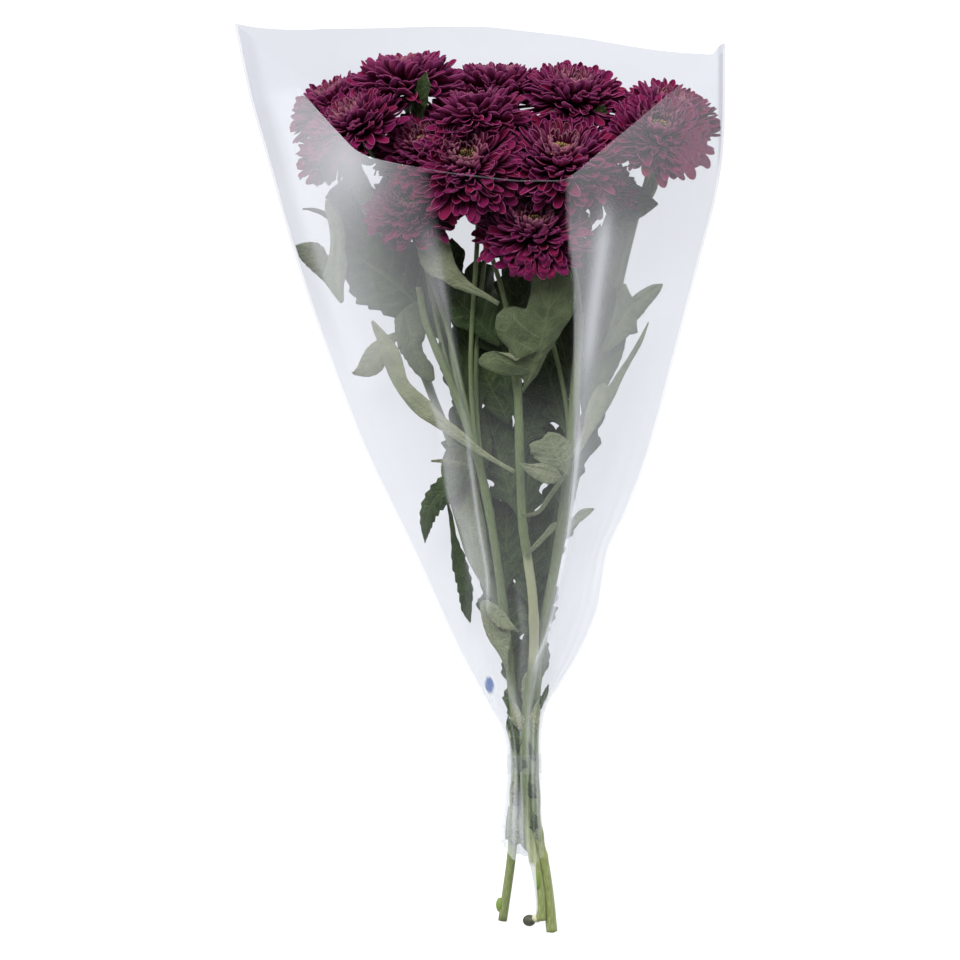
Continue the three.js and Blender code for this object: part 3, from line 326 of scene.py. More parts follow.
# Other leaves: stem, height y on it or the point they grow from, bend and tip [x, y, z], greatest
# width, roll in degrees, whether the pale underside faces up, and how lobed they are.
LEAVES = [
    (0, 126, [-66.1, 162.2, 42], [-84.5, 203.8, 50], 22, 12, True, 0.5),
    (0, 122, [-88.5, 171.4, 44], [-110, 168.4, 50], 4.5, 0, False, 0),
    (0, 104, [-50.2, 136.8, 30], [-65.1, 171.4, 36], 24, 8, False, 0.8),
    (4, 90, [72.7, 119.1, 32], [75, 160, 38], 26, -8, False, 0.6),
    (1, 78, [-20.1, 119.4, 26], [-17.6, 151.8, 30], 30, 8, False, 0.8),
    (2, 60, [5, 101.6, 30], [-2.5, 139, 34], 34, -20, False, 0.8),
    (2, 30, [11.3, 78, 24], [3.8, 112.9, 30], 34, 10, False, 0.9),
    (1, 20, [-10.1, 63, 22], [-15.1, 98.1, 26], 30, 0, False, 0.8),
    (2, 66, [23.8, 112.9, 30], [22.5, 155.3, 34], 34, 12, False, 0.6),
    (3, 52, [50.3, 88, 26], [42.7, 128, 30], 36, -14, False, 0.8),
    (3, 20, [47.9, 52.9, 20], [35.2, 90.6, 24], 38, 8, False, 1),
    (3, 64, [66.6, 103, 28], [63.9, 144, 34], 30, 6, False, 0.7),
    (2, 14, [31.6, 37.9, 16], [50.4, 70.6, 20], 34, 20, False, 0.8),
    (1, -20, [-6.3, 15.2, 12], [-12.6, 53.1, 14], 28, -6, False, 0.8),
    (2, -30, [12.7, 6.3, 12], [3.8, 48, 18], 36, 6, False, 0.9),
    (2, -40, [29.1, 0, 10], [35.4, 43, 12], 38, -6, False, 0.9),
    (0, -40, [-3, -12.7, 8], [-9, 17, 10], 17, 10, False, 0.5),
    (3, -40, [52, 0, 10], [55, 38, 12], 22, -8, False, 0.6),
    (0, -70, [7, -45.7, 7], [7, -3.8, 8], 22, -10, False, 0.4),
    (4, -66, [43.1, -38.1, 7], [52, 2.5, 9], 32, 8, False, 0.8),
    (1, -80, [17, -50.7, 10], [17, -8.9, 12], 28, 6, False, 0.4),
    (2, -88, [27.9, -63.4, 9], [31.6, -16.5, 12], 34, -8, False, 0.7),
    (0, -104, [10.1, -88.8, 7], [7.6, -52, 7], 24, 8, False, 0.6),
    (4, -100, [35.5, -82.4, 7], [44.4, -43.1, 7], 26, -6, False, 0.6),
    (3, -108, [34.2, -95, 9], [38, -58.3, 10], 26, 10, False, 0.5),
    (1, -116, [17.7, -101.4, 8], [20.3, -63.4, 9], 26, -8, False, 0.6),
    (3, -124, [31.7, -114, 10], [34.2, -83.5, 12], 20, 6, False, 0.4),
    (2, -140, [21.5, -126.7, 9], [21.5, -96.3, 10], 20, 0, False, 0.3),
    (2, 84, [37.5, 112.6, 36], [47.5, 149.9, 40], 34, 10, False, 0.6),
    (3, -20, [61.8, 17.6, 20], [75.5, 52.8, 24], 20, 10, False, 0.7),
    (0, [-42, 210, 54], [-37.9, 225, 84], [-32.8, 248, 96], 14, 30, False, 0),
    (0, [40, 212, 56], [41.9, 220.4, 70], [46.7, 227.5, 72], 9, 0, False, 0.1),
    (0, [70, 214, 56], [72.8, 223.3, 66], [76.3, 230.8, 70], 9, 0, False, 0.1),
    (0, [-50, 168, 40], [-54.5, 190.9, 56], [-56.9, 211.5, 60], 13, 0, False, 0.2),
    (0, [-66, 190, 40], [-59.7, 205.3, 48], [-64.5, 215.9, 54], 12, 0, False, 0.2),
    (0, [-30, 196, 40], [-34.7, 210.7, 56], [-24.7, 227.4, 62], 16, 0, False, 0.2),
    (0, [20, 190, 40], [24.8, 210.7, 56], [30.9, 223.9, 60], 16, 0, False, 0.2),
    (2, -160, [25.2, -157.6, 20], [20.8, -138.6, 21], 8, 10, True, 0.2),
    (3, -164, [34, -156.3, 20], [36.5, -138.6, 21], 8, -10, True, 0.2),
    (1, -170, [20.2, -165.2, 19], [17.7, -148.8, 19], 6, 0, False, 0.2),
    (2, -186, [27.7, -184, 21], [21.4, -170.1, 21], 8, 0, False, 0.3),
    (3, -178, [34, -179, 20], [30.9, -165.1, 21], 6, 20, False, 0.3),
    (3, -202, [35.3, -201.6, 21], [30.9, -190.3, 21], 7, 10, False, 0.3),
    (1, -207, [21.4, -205.5, 20], [25.2, -196.6, 21], 6, 0, False, 0.3),
    (1, -198, [20.2, -199.2, 20], [22.1, -189.1, 20], 6, 0, True, 0.3),
    (1, -226, [20.2, -233.6, 17], [22.7, -222, 19], 8, 0, True, 0.3),
    (3, -222, [36.6, -224.5, 19], [33.4, -209.2, 21], 7, 0, False, 0.3),
    (0, -214, [21.5, -218.4, 17], [17.7, -205.8, 17], 7, 0, True, 0.3),
    (3, -152, [39.8, -141.4, 17], [42.9, -129.2, 20], 4, 20, False, 0.1),
    (3, -150, [41.7, -147.8, 15], [44.8, -141.4, 17], 2.6, 0, False, 0),
    (2, -170, [21.4, -171.5, 20], [20.2, -156.3, 20], 9, 0, False, 0.2),
    (3, -196, [37.8, -201.6, 21], [36.5, -182.7, 21], 8, 0, False, 0.2),
    (1, -222, [17.7, -231.1, 16], [18.9, -209.6, 17], 11, 0, True, 0.1),
    (0, -224, [22.8, -233.9, 14], [24, -206, 15], 12, 0, False, 0.2),
    (3, -226, [37.9, -234.8, 17], [38.5, -213.3, 18], 9, 0, True, 0.1),
    (2, -150, [30.3, -138.7, 20], [29, -121, 21], 9, 0, True, 0.1),
    (1, -10, [-17.6, 75.3, 30], [-21.3, 93.9, 34], 16, 0, False, 0.3),
    (1, 10, [-3.8, 88, 26], [-11.3, 112.9, 30], 26, 0, False, 0.5),
    (2, -168, [27, -148, 8], [27, -116, 9], 24, 0, False, 0.1),
    (1, -200, [27, -186, 7], [28, -158, 8], 21, 0, False, 0),
    (3, -238, [29, -224, 7], [28, -194, 8], 19, 0, False, 0),
    (2, -240, [26.5, -230, 14], [25.5, -212, 16], 9, 0, True, 0.1),
    (1, -128, [18, -116, 18], [16.5, -100, 19], 8, 0, True, 0.2),
    (3, -134, [37, -122, 18], [42, -104, 20], 10, 0, False, 0.2),
]

# Swellings of the stems near their cut ends: stem, middle [x, y, z], half sizes, and look.
NUBS = [
    (1, [12.6, -269, 10.2], [2.4, 4.6, 2.4], "fresh"),
    (2, [31.4, -279, 9.4], [4.1, 3.7, 3.6], "scar"),
    (2, [36, -277.4, 11.4], [3.2, 2.7, 3], "pith"),
    (2, [36.2, -252, 17.6], [2.2, 6.2, 1.8], "fresh"),
    (3, [45.5, -285.4, 8.6], [3.3, 1.5, 3.1], "fresh"),
]

# ------------------------------------------------------------------ small tools


class Line:
    """A table of [key, value] rows read as a smooth line, flat past its ends."""

    def __init__(self, rows):
        rows = np.array(rows, float)
        self.keys, self.values = rows[:, 0], rows[:, 1]
        chords = np.diff(self.values) / np.diff(self.keys)
        middle = (self.values[2:] - self.values[:-2]) / (self.keys[2:] - self.keys[:-2])
        self.start = np.r_[chords[0], self.limited(middle, chords[1:])]
        self.end = np.r_[self.limited(middle, chords[:-1]), chords[-1]]

    @staticmethod
    def limited(slopes, chords):
        """Slopes without overshoot: none against the chord, at most three times as steep."""
        size = np.minimum(np.abs(slopes), 3 * np.abs(chords))
        return np.where(slopes * chords <= 0, 0, np.sign(chords) * size)

    def __call__(self, key):
        key = np.clip(key, self.keys[0], self.keys[-1])
        i = np.clip(np.searchsorted(self.keys, key, side="right") - 1, 0, len(self.keys) - 2)
        h = self.keys[i + 1] - self.keys[i]
        t = (key - self.keys[i]) / h
        low = self.values[i] * (2 * t**3 - 3 * t**2 + 1) + self.start[i] * h * (t**3 - 2 * t**2 + t)
        return low + self.values[i + 1] * (3 * t**2 - 2 * t**3) + self.end[i] * h * (t**3 - t**2)


def smooth(low, high, value):
    """0 below low, 1 above high, smooth between."""
    t = np.clip((value - low) / (high - low), 0, 1)
    return t * t * (3 - 2 * t)


def unit(v):
    """Vectors along the last axis at length 1."""
    return v / np.maximum(np.linalg.norm(v, axis=-1, keepdims=True), 1e-12)


def grid_quads(rows, columns, wrap=False):
    """Quads of a grid of points, closed across its columns if wrap."""
    r = np.arange(rows - 1)[:, None]
    c = np.arange(columns if wrap else columns - 1)[None, :]
    n = (c + 1) % columns
    corners = [r * columns + c, r * columns + n, (r + 1) * columns + n, (r + 1) * columns + c]
    return np.stack(corners, -1).reshape(-1, 4)


def shell_quads(rows, columns):
    """Quads of a closed shell: an upper grid, a lower grid after it, and the rim between them."""
    upper = grid_quads(rows, columns)
    size = rows * columns
    first = np.arange(columns)
    right = np.arange(rows) * columns + columns - 1
    last = (rows - 1) * columns + np.arange(columns)[::-1]
    left = (np.arange(rows) * columns)[::-1]
    border = np.r_[first[:-1], right[:-1], last[:-1], left[:-1]]
    after = np.roll(border, -1)
    rim = np.stack([border, border + size, after + size, after], -1)
    return np.r_[upper, upper[:, ::-1] + size, rim]


def turns_round(sides):
    """Angles of points set evenly round a circle."""
    return np.arange(sides) / sides * 2 * np.pi


def lathe(profile, sides):
    """Points round +Z through pairs of radius and height, and their quads."""
    rings = [[(r * math.cos(turn), r * math.sin(turn), z) for turn in turns_round(sides)]
             for r, z in profile]
    return np.array(rings).reshape(-1, 3), grid_quads(len(profile), sides, wrap=True)


def twice(values):
    """The same values for the second surface of a shell as for its first."""
    return {key: np.r_[rows.ravel(), rows.ravel()] for key, rows in values.items()}


class Build:
    """Points and faces of one mesh, with named values at its points."""

    def __init__(self, *names):
        self.points, self.quads, self.kinds = [], [], []
        self.values = {name: [] for name in names}
        self.count = 0

    def add(self, points, quads, kind=0, **values):
        """Adds a part whose quads count from its own points; kind: which of the materials."""
        points = np.asarray(points, float).reshape(-1, 3)
        self.points.append(points)
        self.quads.append(quads + self.count)
        self.kinds.append(np.full(len(quads), kind))
        for name, rows in self.values.items():
            rows.append(np.broadcast_to(values.get(name, 0.0), len(points)).astype(float))
        self.count += len(points)

    def piece(self, name, materials, slot, node):
        """Makes the Blender object, which stands for a CAD node."""
        points = np.concatenate(self.points) * MM
        quads = np.concatenate(self.quads)
        mesh = bpy.data.meshes.new(name)
        mesh.vertices.add(len(points))
        mesh.vertices.foreach_set("co", points.ravel())
        mesh.loops.add(quads.size)
        mesh.loops.foreach_set("vertex_index", quads.ravel().astype(np.int32))
        mesh.polygons.add(len(quads))
        mesh.polygons.foreach_set("loop_start", np.arange(0, quads.size, 4, dtype=np.int32))
        mesh.polygons.foreach_set("material_index", np.concatenate(self.kinds).astype(np.int32))
        mesh.polygons.foreach_set("use_smooth", np.ones(len(quads), bool))
        mesh.update(calc_edges=True)
        for key, rows in self.values.items():
            layer = mesh.attributes.new(key, "FLOAT", "POINT")
            layer.data.foreach_set("value", np.concatenate(rows).astype(np.float32))
        for material in materials:
            mesh.materials.append(material)
        piece = bpy.data.objects.new(name, mesh)
        bpy.context.scene.collection.objects.link(piece)
        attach(piece, "root")
        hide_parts(node)
        return piece


def tube_rings(points, radii, sides, swell=None):
    """Rings of points round a line, each turned as little as can be from the one before."""
    points = np.asarray(points, float)
    tangents = unit(np.gradient(points, axis=0))
    side = np.array([1.0, 0, 0])
    turns = turns_round(sides)
    rings = []
    for i, (point, tangent) in enumerate(zip(points, tangents)):
        side = unit(side - tangent * (side @ tangent))
        up = np.cross(tangent, side)
        radius = radii[i] * (1 if swell is None else swell(turns))
        ring = np.outer(np.cos(turns) * radius, side) + np.outer(np.sin(turns) * radius, up)
        rings.append(point + ring)
    return np.array(rings)


def closed_rings(rings):
    """A tube's rings with two more at each end, drawn in to a tip."""
    first, last = rings[0], rings[-1]
    ends = [first + (first.mean(0) - first) * share for share in (0.999, 0.55)]
    tops = [last + (last.mean(0) - last) * share for share in (0.55, 0.999)]
    return np.concatenate([ends, rings, tops])


def with_ends(values):
    """Values of a tube's rings, with the rings that closed_rings adds."""
    return np.r_[values[:1], values[:1], values, values[-1:], values[-1:]]


class Path:
    """A smooth curve through points, as a centripetal Catmull-Rom spline."""

    def __init__(self, points):
        points = np.array(points, float)
        first = 2 * points[0] - points[1]
        last = 2 * points[-1] - points[-2]
        self.points = np.concatenate([[first], points, [last]])
        self.spans = len(points) - 1

    def at(self, share):
        """The point at a share of the curve's spans."""
        place = min(max(share, 0), 1) * self.spans
        i = min(int(place), self.spans - 1)
        t = place - i
        a, b, c, d = self.points[i:i + 4]
        steps = [math.sqrt(np.linalg.norm(q - p)) for p, q in ((a, b), (b, c), (c, d))]
        leave = (b - a) / steps[0] - (c - a) / (steps[0] + steps[1]) + (c - b) / steps[1]
        reach = (c - b) / steps[1] - (d - b) / (steps[1] + steps[2]) + (d - c) / steps[2]
        leave, reach = leave * steps[1], reach * steps[1]
        start = b * (2 * t**3 - 3 * t**2 + 1) + leave * (t**3 - 2 * t**2 + t)
        return start + c * (3 * t**2 - 2 * t**3) + reach * (t**3 - t**2)

    def line(self, count):
        """Points at even shares from end to end."""
        return np.array([self.at(i / (count - 1)) for i in range(count)])

    def at_height(self, y):
        """The point at a height y, the share of the curve there, and its direction."""
        low, high = 0.0, 1.0
        for _ in range(40):
            middle = (low + high) / 2
            if self.at(middle)[1] < y:
                low = middle
            else:
                high = middle
        step = 0.002
        return self.at(low), low, unit(self.at(low + step) - self.at(low - step))


# ------------------------------------------------------------------ materials


class Nodes:
    """Short calls that build one material's nodes."""

    def __init__(self, name, tree=None):
        if tree is None:
            self.material = bpy.data.materials.new(name)
            self.material.use_nodes = True
            tree = self.material.node_tree
        self.tree = tree
        tree.nodes.clear()

    def make(self, kind, inputs=None, **settings):
        node = self.tree.nodes.new(kind)
        for key, value in settings.items():
            setattr(node, key, value)
        for key, value in (inputs or {}).items():
            self.put(node.inputs[key], value)
        return node

    def put(self, socket, value):
        """Links another node's output or sets a number or a colour."""
        if isinstance(value, bpy.types.NodeSocket):
            self.tree.links.new(value, socket)
        elif isinstance(value, tuple) and len(value) == 3 and socket.type == "RGBA":
            socket.default_value = (*value, 1)
        else:
            socket.default_value = value

    def math(self, operation, a, b=0.5, c=0.5):
        node = self.make("ShaderNodeMath", operation=operation)
        for socket, value in zip(node.inputs, (a, b, c)):
            self.put(socket, value)
        return node.outputs[0]

    def times(self, a, b, plus=None):
        """a times b, plus a third value if there is one."""
        if plus is None:
            return self.math("MULTIPLY", a, b)
        return self.math("MULTIPLY_ADD", a, b, plus)

    def rest(self, share):
        """What a share leaves of 1."""
        return self.math("SUBTRACT", 1.0, share)

    def value(self, name):
        """A named value of the mesh's points."""
        return self.make("ShaderNodeAttribute", attribute_name=name).outputs["Fac"]

    def between(self, value, low, high):
        """0 where value is at low, 1 at high, smooth between."""
        node = self.make("ShaderNodeMapRange", interpolation_type="SMOOTHSTEP")
        for key, item in (("Value", value), ("From Min", low), ("From Max", high)):
            self.put(node.inputs[key], item)
        return node.outputs["Result"]

    def ramp(self, value, stops):
        """Colours at places from 0 to 1."""
        node = self.make("ShaderNodeValToRGB", {"Fac": value})
        band = node.color_ramp
        while len(band.elements) < len(stops):
            band.elements.new(0.5)
        for element, (place, colour) in zip(band.elements, stops):
            element.position = place
            element.color = (*colour, 1)
        return node.outputs["Color"]

    def mix(self, share, a, b, blend="MIX"):
        node = self.make("ShaderNodeMix", data_type="RGBA", blend_type=blend)
        self.put(node.inputs["Factor"], share)
        self.put(node.inputs[6], a)
        self.put(node.inputs[7], b)
        return node.outputs[2]

    def vector(self, x, y, z=0.0):
        return self.make("ShaderNodeCombineXYZ", {"X": x, "Y": y, "Z": z}).outputs[0]

    def noise(self, vector, scale, detail=2.0):
        inputs = {"Vector": vector, "Scale": scale, "Detail": detail}
        return self.make("ShaderNodeTexNoise", inputs).outputs["Fac"]

    def bump(self, height, distance, strength=1.0):
        inputs = {"Height": height, "Distance": distance, "Strength": strength}
        return self.make("ShaderNodeBump", inputs).outputs["Normal"]

    def surface(self, colour, roughness, gloss, normal, **more):
        """An opaque surface; further inputs are named with _ for their spaces."""
        inputs = {"Base Color": colour, "Roughness": roughness, "Specular IOR Level": gloss,
                  "Normal": normal, **{key.replace("_", " "): item for key, item in more.items()}}
        return self.make("ShaderNodeBsdfPrincipled", inputs).outputs[0]

    def blend(self, share, a, b):
        """Two shaders mixed."""
        return self.make("ShaderNodeMixShader", {0: share, 1: a, 2: b}).outputs[0]

    def show(self, shader):
        output = self.make("ShaderNodeOutputMaterial")
        self.tree.links.new(shader, output.inputs["Surface"])
        return self.material


def petal_material():
    """Burgundy ray florets: lengthwise veins, a pale rim painted as a highlight, pinker towards the
    middle, and darker bases that are partly painted shade.
    """
    n = Nodes("petal")
    along, across, tone = n.value("along"), n.value("across"), n.value("tone")
    edge = n.math("ABSOLUTE", across)
    # Darker towards the floret base: partly the florets' own deeper colour, partly painted shade
    # deep inside the head.
    wine = n.ramp(along, [(0, (0.035, 0.001, 0.008)), (0.3, (0.085, 0.003, 0.024)),
                          (0.62, (0.15, 0.006, 0.05)), (1, (0.25, 0.015, 0.095))])
    ruby = n.ramp(along, [(0, (0.035, 0.001, 0.006)), (0.35, (0.095, 0.003, 0.02)),
                          (1, (0.21, 0.009, 0.052))])
    top = n.mix(n.between(tone, 0.4, 1.0), wine, ruby)
    stripes = n.math("SINE", n.times(across, 17.0))
    grain = n.noise(n.vector(n.times(across, 6.0), along, tone), 4.0, 3.0)
    veins = n.times(stripes, 0.5, n.times(grain, 1.4))
    top = n.mix(n.times(n.between(veins, 0.2, 1.5), 0.4), top, (0.02, 0.001, 0.006))
    under = n.ramp(along, [(0, (0.045, 0.003, 0.017)), (0.5, (0.13, 0.013, 0.056)),
                           (1, (0.225, 0.035, 0.115))])
    under = n.mix(n.times(n.between(veins, 0.4, 1.4), 0.35), under, (0.09, 0.006, 0.035))
    colour = n.mix(n.value("upper"), under, top)
    # The pale rim along the floret edges and tip is a painted highlight, where light would catch
    # the edges.
    rim = n.math("MAXIMUM", n.between(edge, 0.8, 1.0), n.between(along, 0.96, 1.0))
    rim = n.times(rim, n.between(along, 0.35, 0.8))
    rim = n.times(rim, n.times(n.between(grain, 0.4, 0.7), 0.5, 0.06))
    colour = n.mix(rim, colour, (0.55, 0.17, 0.35))
    pale = n.times(n.between(n.value("ring"), 0.72, 1.0), n.between(along, 0.6, 1.0))
    colour = n.mix(n.times(pale, 0.6), colour, (0.46, 0.24, 0.24))
    shade = n.ramp(tone, [(0, (0.74, 0.7, 0.85)), (1, (1.14, 1.05, 1.1))])
    colour = n.mix(1.0, colour, shade, "MULTIPLY")
    return n.show(n.surface(colour, 0.62, 0.07, n.bump(veins, 0.00012, 0.7)))


def leaf_material():
    """Dark green above and pale grey-green below, with veins."""
    n = Nodes("leaf")
    along, across, tone = n.value("along"), n.value("across"), n.value("tone")
    edge = n.math("ABSOLUTE", across)
    lateral = n.times(n.times(edge, -VEIN_SLANT, along), VEIN_PAIRS)
    ridge = n.math("ABSOLUTE", n.math("SUBTRACT", n.math("FRACT", lateral), 0.5))
    veins = n.rest(n.between(ridge, 0.0, 0.09))
    veins = n.times(veins, n.between(edge, 1.0, 0.5))
    midrib = n.rest(n.between(edge, 0.0, 0.09))
    veins = n.math("MAXIMUM", veins, midrib)
    place = n.vector(n.value("flat_x"), n.value("flat_y"), tone)
    cells = {"Vector": place, "Scale": 0.42}
    net = n.make("ShaderNodeTexVoronoi", cells, feature="DISTANCE_TO_EDGE").outputs["Distance"]
    net = n.rest(n.between(net, 0.0, 0.16))
    mottle = n.noise(place, 0.09, 4.0)
    fine = n.noise(place, 1.1, 3.0)
    top = n.mix(n.between(mottle, 0.3, 0.7), (0.0145, 0.0325, 0.0072), (0.038, 0.070, 0.0165))
    top = n.mix(n.times(net, 0.2), top, (0.05, 0.08, 0.03))
    top = n.mix(n.times(veins, 0.45), top, (0.105, 0.14, 0.055))
    under = n.mix(n.between(mottle, 0.3, 0.7), (0.165, 0.198, 0.125), (0.260, 0.292, 0.192))
    under = n.mix(n.times(net, 0.2), under, (0.24, 0.27, 0.18))
    under = n.mix(n.times(veins, 0.4), under, (0.30, 0.33, 0.21))
    colour = n.mix(n.value("upper"), under, top)
    shade = n.ramp(tone, [(0, (0.75, 0.78, 0.75)), (1, (1.15, 1.1, 1.0))])
    colour = n.mix(1.0, colour, shade, "MULTIPLY")
    height = n.times(veins, 0.7, n.times(fine, 0.5, net))
    rough = n.ramp(n.value("upper"), [(0, (0.78, 0.78, 0.78)), (1, (0.52, 0.52, 0.52))])
    return n.show(n.surface(colour, rough, 0.28, n.bump(height, 0.0004, 0.8),
                            Sheen_Weight=0.05, Sheen_Tint=(0.85, 0.95, 0.85)))


def stalk_material():
    """Streaked green stalks, with the looks of cut ends and swellings."""
    n = Nodes("stalk")
    length, round_ = n.value("flat_y"), n.value("across")
    place = n.vector(n.times(round_, 9.0), n.times(length, 0.12))
    streaks = n.noise(place, 1.6, 3.0)
    spots = n.noise(n.vector(n.times(round_, 3.0), n.times(length, 0.3)), 2.2, 4.0)
    young = n.mix(n.between(streaks, 0.3, 0.7), (0.085, 0.125, 0.050), (0.175, 0.215, 0.100))
    old = n.mix(n.between(streaks, 0.3, 0.7), (0.145, 0.180, 0.050), (0.340, 0.385, 0.160))
    colour = n.mix(n.value("old"), young, old)
    colour = n.mix(n.times(n.between(spots, 0.58, 0.75), 0.45), colour, (0.10, 0.085, 0.035))
    colour = n.mix(n.value("pith"), colour, (0.62, 0.60, 0.42))
    colour = n.mix(n.value("fresh"), colour, (0.15, 0.24, 0.03))
    # A very dark stub near a cut end.
    colour = n.mix(n.value("scar"), colour, (0.035, 0.028, 0.033))
    return n.show(n.surface(colour, 0.5, 0.4, n.bump(streaks, 0.0003, 0.5)))


def disc_material():
    """Tube florets: open and yellow at the rim, shut and dark inside."""
    n = Nodes("disc_floret")
    along, tone, ring = n.value("along"), n.value("tone"), n.value("ring")
    open_ = n.ramp(along, [(0, (0.05, 0.014, 0.010)), (0.55, (0.16, 0.075, 0.03)),
                           (1, (0.58, 0.42, 0.17))])
    shut = n.ramp(along, [(0, (0.02, 0.010, 0.006)), (0.7, (0.07, 0.045, 0.015)),
                          (1, (0.20, 0.15, 0.05))])
    colour = n.mix(n.between(ring, 0.25, 0.6), open_, shut)
    colour = n.mix(n.times(n.between(tone, 0.5, 1.0), 0.6), colour, (0.10, 0.012, 0.03))
    grain = n.noise(n.make("ShaderNodeTexCoord").outputs["Object"], 2600.0, 2.0)
    return n.show(n.surface(colour, 0.6, 0.2, n.bump(grain, 0.0001, 0.5)))


def film_material(name, front_tint, back_tint):
    """Clear film: what is behind it shows, slanting views shine, and a milky white shows its haze
    and the reflections of the light painted on it.
    """
    n = Nodes(name)
    facing = n.make("ShaderNodeLayerWeight", {"Blend": 0.5}).outputs["Facing"]
    shine = n.times(n.math("POWER", facing, 5.0), 0.4, 0.01)
    place = n.vector(n.value("flat_x"), n.times(n.value("flat_y"), 0.16))
    normal = n.bump(n.noise(place, 0.16, 3.0), 0.0012, 0.35)
    tint = n.mix(n.value("front"), back_tint, front_tint)
    tint = n.mix(n.value("strip"), tint, (0.93, 0.925, 0.935), "MULTIPLY")
    clear = n.make("ShaderNodeBsdfTransparent", {"Color": tint}).outputs[0]
    # A diffuse white for the film's haze and for the reflections of the light painted on it.
    milk_and_sheen = n.make("ShaderNodeBsdfDiffuse", {"Color": (0.93, 0.945, 1.0), "Normal": normal})
    gloss = n.make("ShaderNodeBsdfGlossy", {
        "Color": (1, 1, 1), "Roughness": 0.09, "Normal": normal})
    ink = n.make("ShaderNodeBsdfPrincipled", {"Base Color": (0.16, 0.23, 0.46), "Roughness": 0.35})
    surface = n.blend(n.value("haze"), clear, milk_and_sheen.outputs[0])
    surface = n.blend(shine, surface, gloss.outputs[0])
    return n.show(n.blend(n.value("ink"), surface, ink.outputs[0]))


PETAL = petal_material()
LEAF = leaf_material()
STALK = stalk_material()
DISC = disc_material()
FILM_LOOK = film_material("clear_film", (0.992, 0.994, 0.997), (0.836, 0.848, 0.874))
TAPE_LOOK = film_material("clear_tape", (0.96, 0.965, 0.965), (0.96, 0.965, 0.965))

# ------------------------------------------------------------------ film sleeve

LINES = {
    "left": Line(LEFT_SIDE), "right": Line(RIGHT_SIDE), "seam": Line(SIDE_HEIGHT),
    "front": Line(FRONT_HEIGHT), "back": Line(BACK_HEIGHT), "left_fold": Line(LEFT_FOLD),
    "right_fold": Line(RIGHT_FOLD), "flat": Line(FLAT_HALF), "round": Line(ROUNDNESS),
}
LIP = 0.25                       # half the thickness of the welded seam


def rise(share, roundness):
    """Height share over a slope: steep at the seam, level at the fold."""
    share = np.clip(share, 0, 1)
    tube = smooth(0.7, 1, roundness)
    arc = tube * np.sqrt(1 - (1 - share) ** 2) + (1 - tube) * (1 - (1 - share) ** 2.6)
    return roundness * arc + (1 - roundness) * (1 - (1 - share) ** 1.6)


def section(y, front):
    """The film's section at heights y: edges, weld width, folds, seam and level heights."""
    left, right = LINES["left"](y), LINES["right"](y)
    weld = np.minimum(WELD, 0.02 * (right - left))
    half = LINES["flat"](y)
    fold_left = np.where(front, LINES["left_fold"](y), (left + right) / 2 - half)
    fold_right = np.where(front, LINES["right_fold"](y), (left + right) / 2 + half)
    level = np.where(front, LINES["front"](y), LINES["back"](y))
    return left, right, weld, fold_left, fold_right, LINES["seam"](y), level


def film_height(x, y, front):
    """Height z of the front or back film over a point of the table."""
    left, right, weld, fold_left, fold_right, seam, level = section(y, front)
    from_left = (x - left - weld) / (fold_left - left - weld)
    from_right = (right - weld - x) / (right - weld - fold_right)
    share = np.minimum(from_left, from_right)
    return seam + (level - seam) * rise(share, LINES["round"](y))


EDGE_LINE, BACK_LINE = Line(FRONT_EDGE), Line(BACK_EDGE)
FILM_CLEARANCE, SIDE_CLEARANCE = 1.2, 2.5


def kept_inside(points):
    """Points pressed in where they would touch the front film or the back film."""
    x, y, z = points.T
    low = film_height(x, y, False) + FILM_CLEARANCE
    high = film_height(x, y, True) - FILM_CLEARANCE
    z = z - np.maximum(z - high, 0) * smooth(6, -2, y - EDGE_LINE(x))
    left, right = LINES["left"](y) + SIDE_CLEARANCE, LINES["right"](y) - SIDE_CLEARANCE
    return np.stack([np.clip(x, left, right), y, np.maximum(z, low)], -1)


# Zones from the welded seam inwards: its tip, the weld, the slope and the level middle.
TIP, FLANGE, SLOPE, FLAT = range(4)


def film_places():
    """Zone, side and share of each point round the sleeve, from the right seam over the front."""
    rows = []
    for front, slope_count, flat_count in ((True, 62, 56), (False, 26, 22)):
        side = [(FLANGE, 0.3), (FLANGE, 0.65)]
        side += [(SLOPE, (i / slope_count) ** 1.3) for i in range(slope_count + 1)]
        near = [(TIP, 0)] + side + [(FLAT, i / flat_count) for i in range(1, flat_count)]
        rows += [(zone, share, front, front) for zone, share in near]
        rows += [(zone, share, front, not front) for zone, share in reversed(side)]
    zone, share, front, right = (np.array(column) for column in zip(*rows))
    return zone, share.astype(float), front.astype(bool), right.astype(bool)


def film_points(places, y):
    """The undisturbed film at heights y, one column for each place."""
    zone, share, front, right = places
    left_x, right_x, weld, fold_left, fold_right, seam, level = section(y, front)
    edge = np.where(right, right_x, left_x)
    inward = np.where(right, -1, 1)
    fold = np.where(right, fold_right, fold_left)
    far_fold = np.where(right, fold_left, fold_right)
    start = edge + inward * weld
    lip = np.where(front, LIP, -LIP)
    x = np.where(zone == SLOPE, start + (fold - start) * share, edge + inward * weld * share)
    x = np.where(zone == FLAT, fold + (far_fold - fold) * share, x)
    z = seam + lip + (level - seam - lip) * rise(share, LINES["round"](y))
    z = np.where(zone == FLANGE, seam + lip, z)
    z = np.where(zone == TIP, seam, z)
    z = np.where(zone == FLAT, level, z)
    return np.stack([x, y, z], -1)


def ring_normals(points):
    """Outward directions of a sleeve's points, across its length."""
    along = np.roll(points, -1, axis=1) - np.roll(points, 1, axis=1)
    return unit(np.stack([along[..., 2], np.zeros_like(along[..., 0]), -along[..., 0]], -1))


# Sets of gathers: how many folds go round the sleeve, their height and their sharpness.
GATHERS = [(7, 0.45, 0.9), (13, 0.6, 0.7), (22, 0.38, 0.7), (37, 0.16, 0.8)]


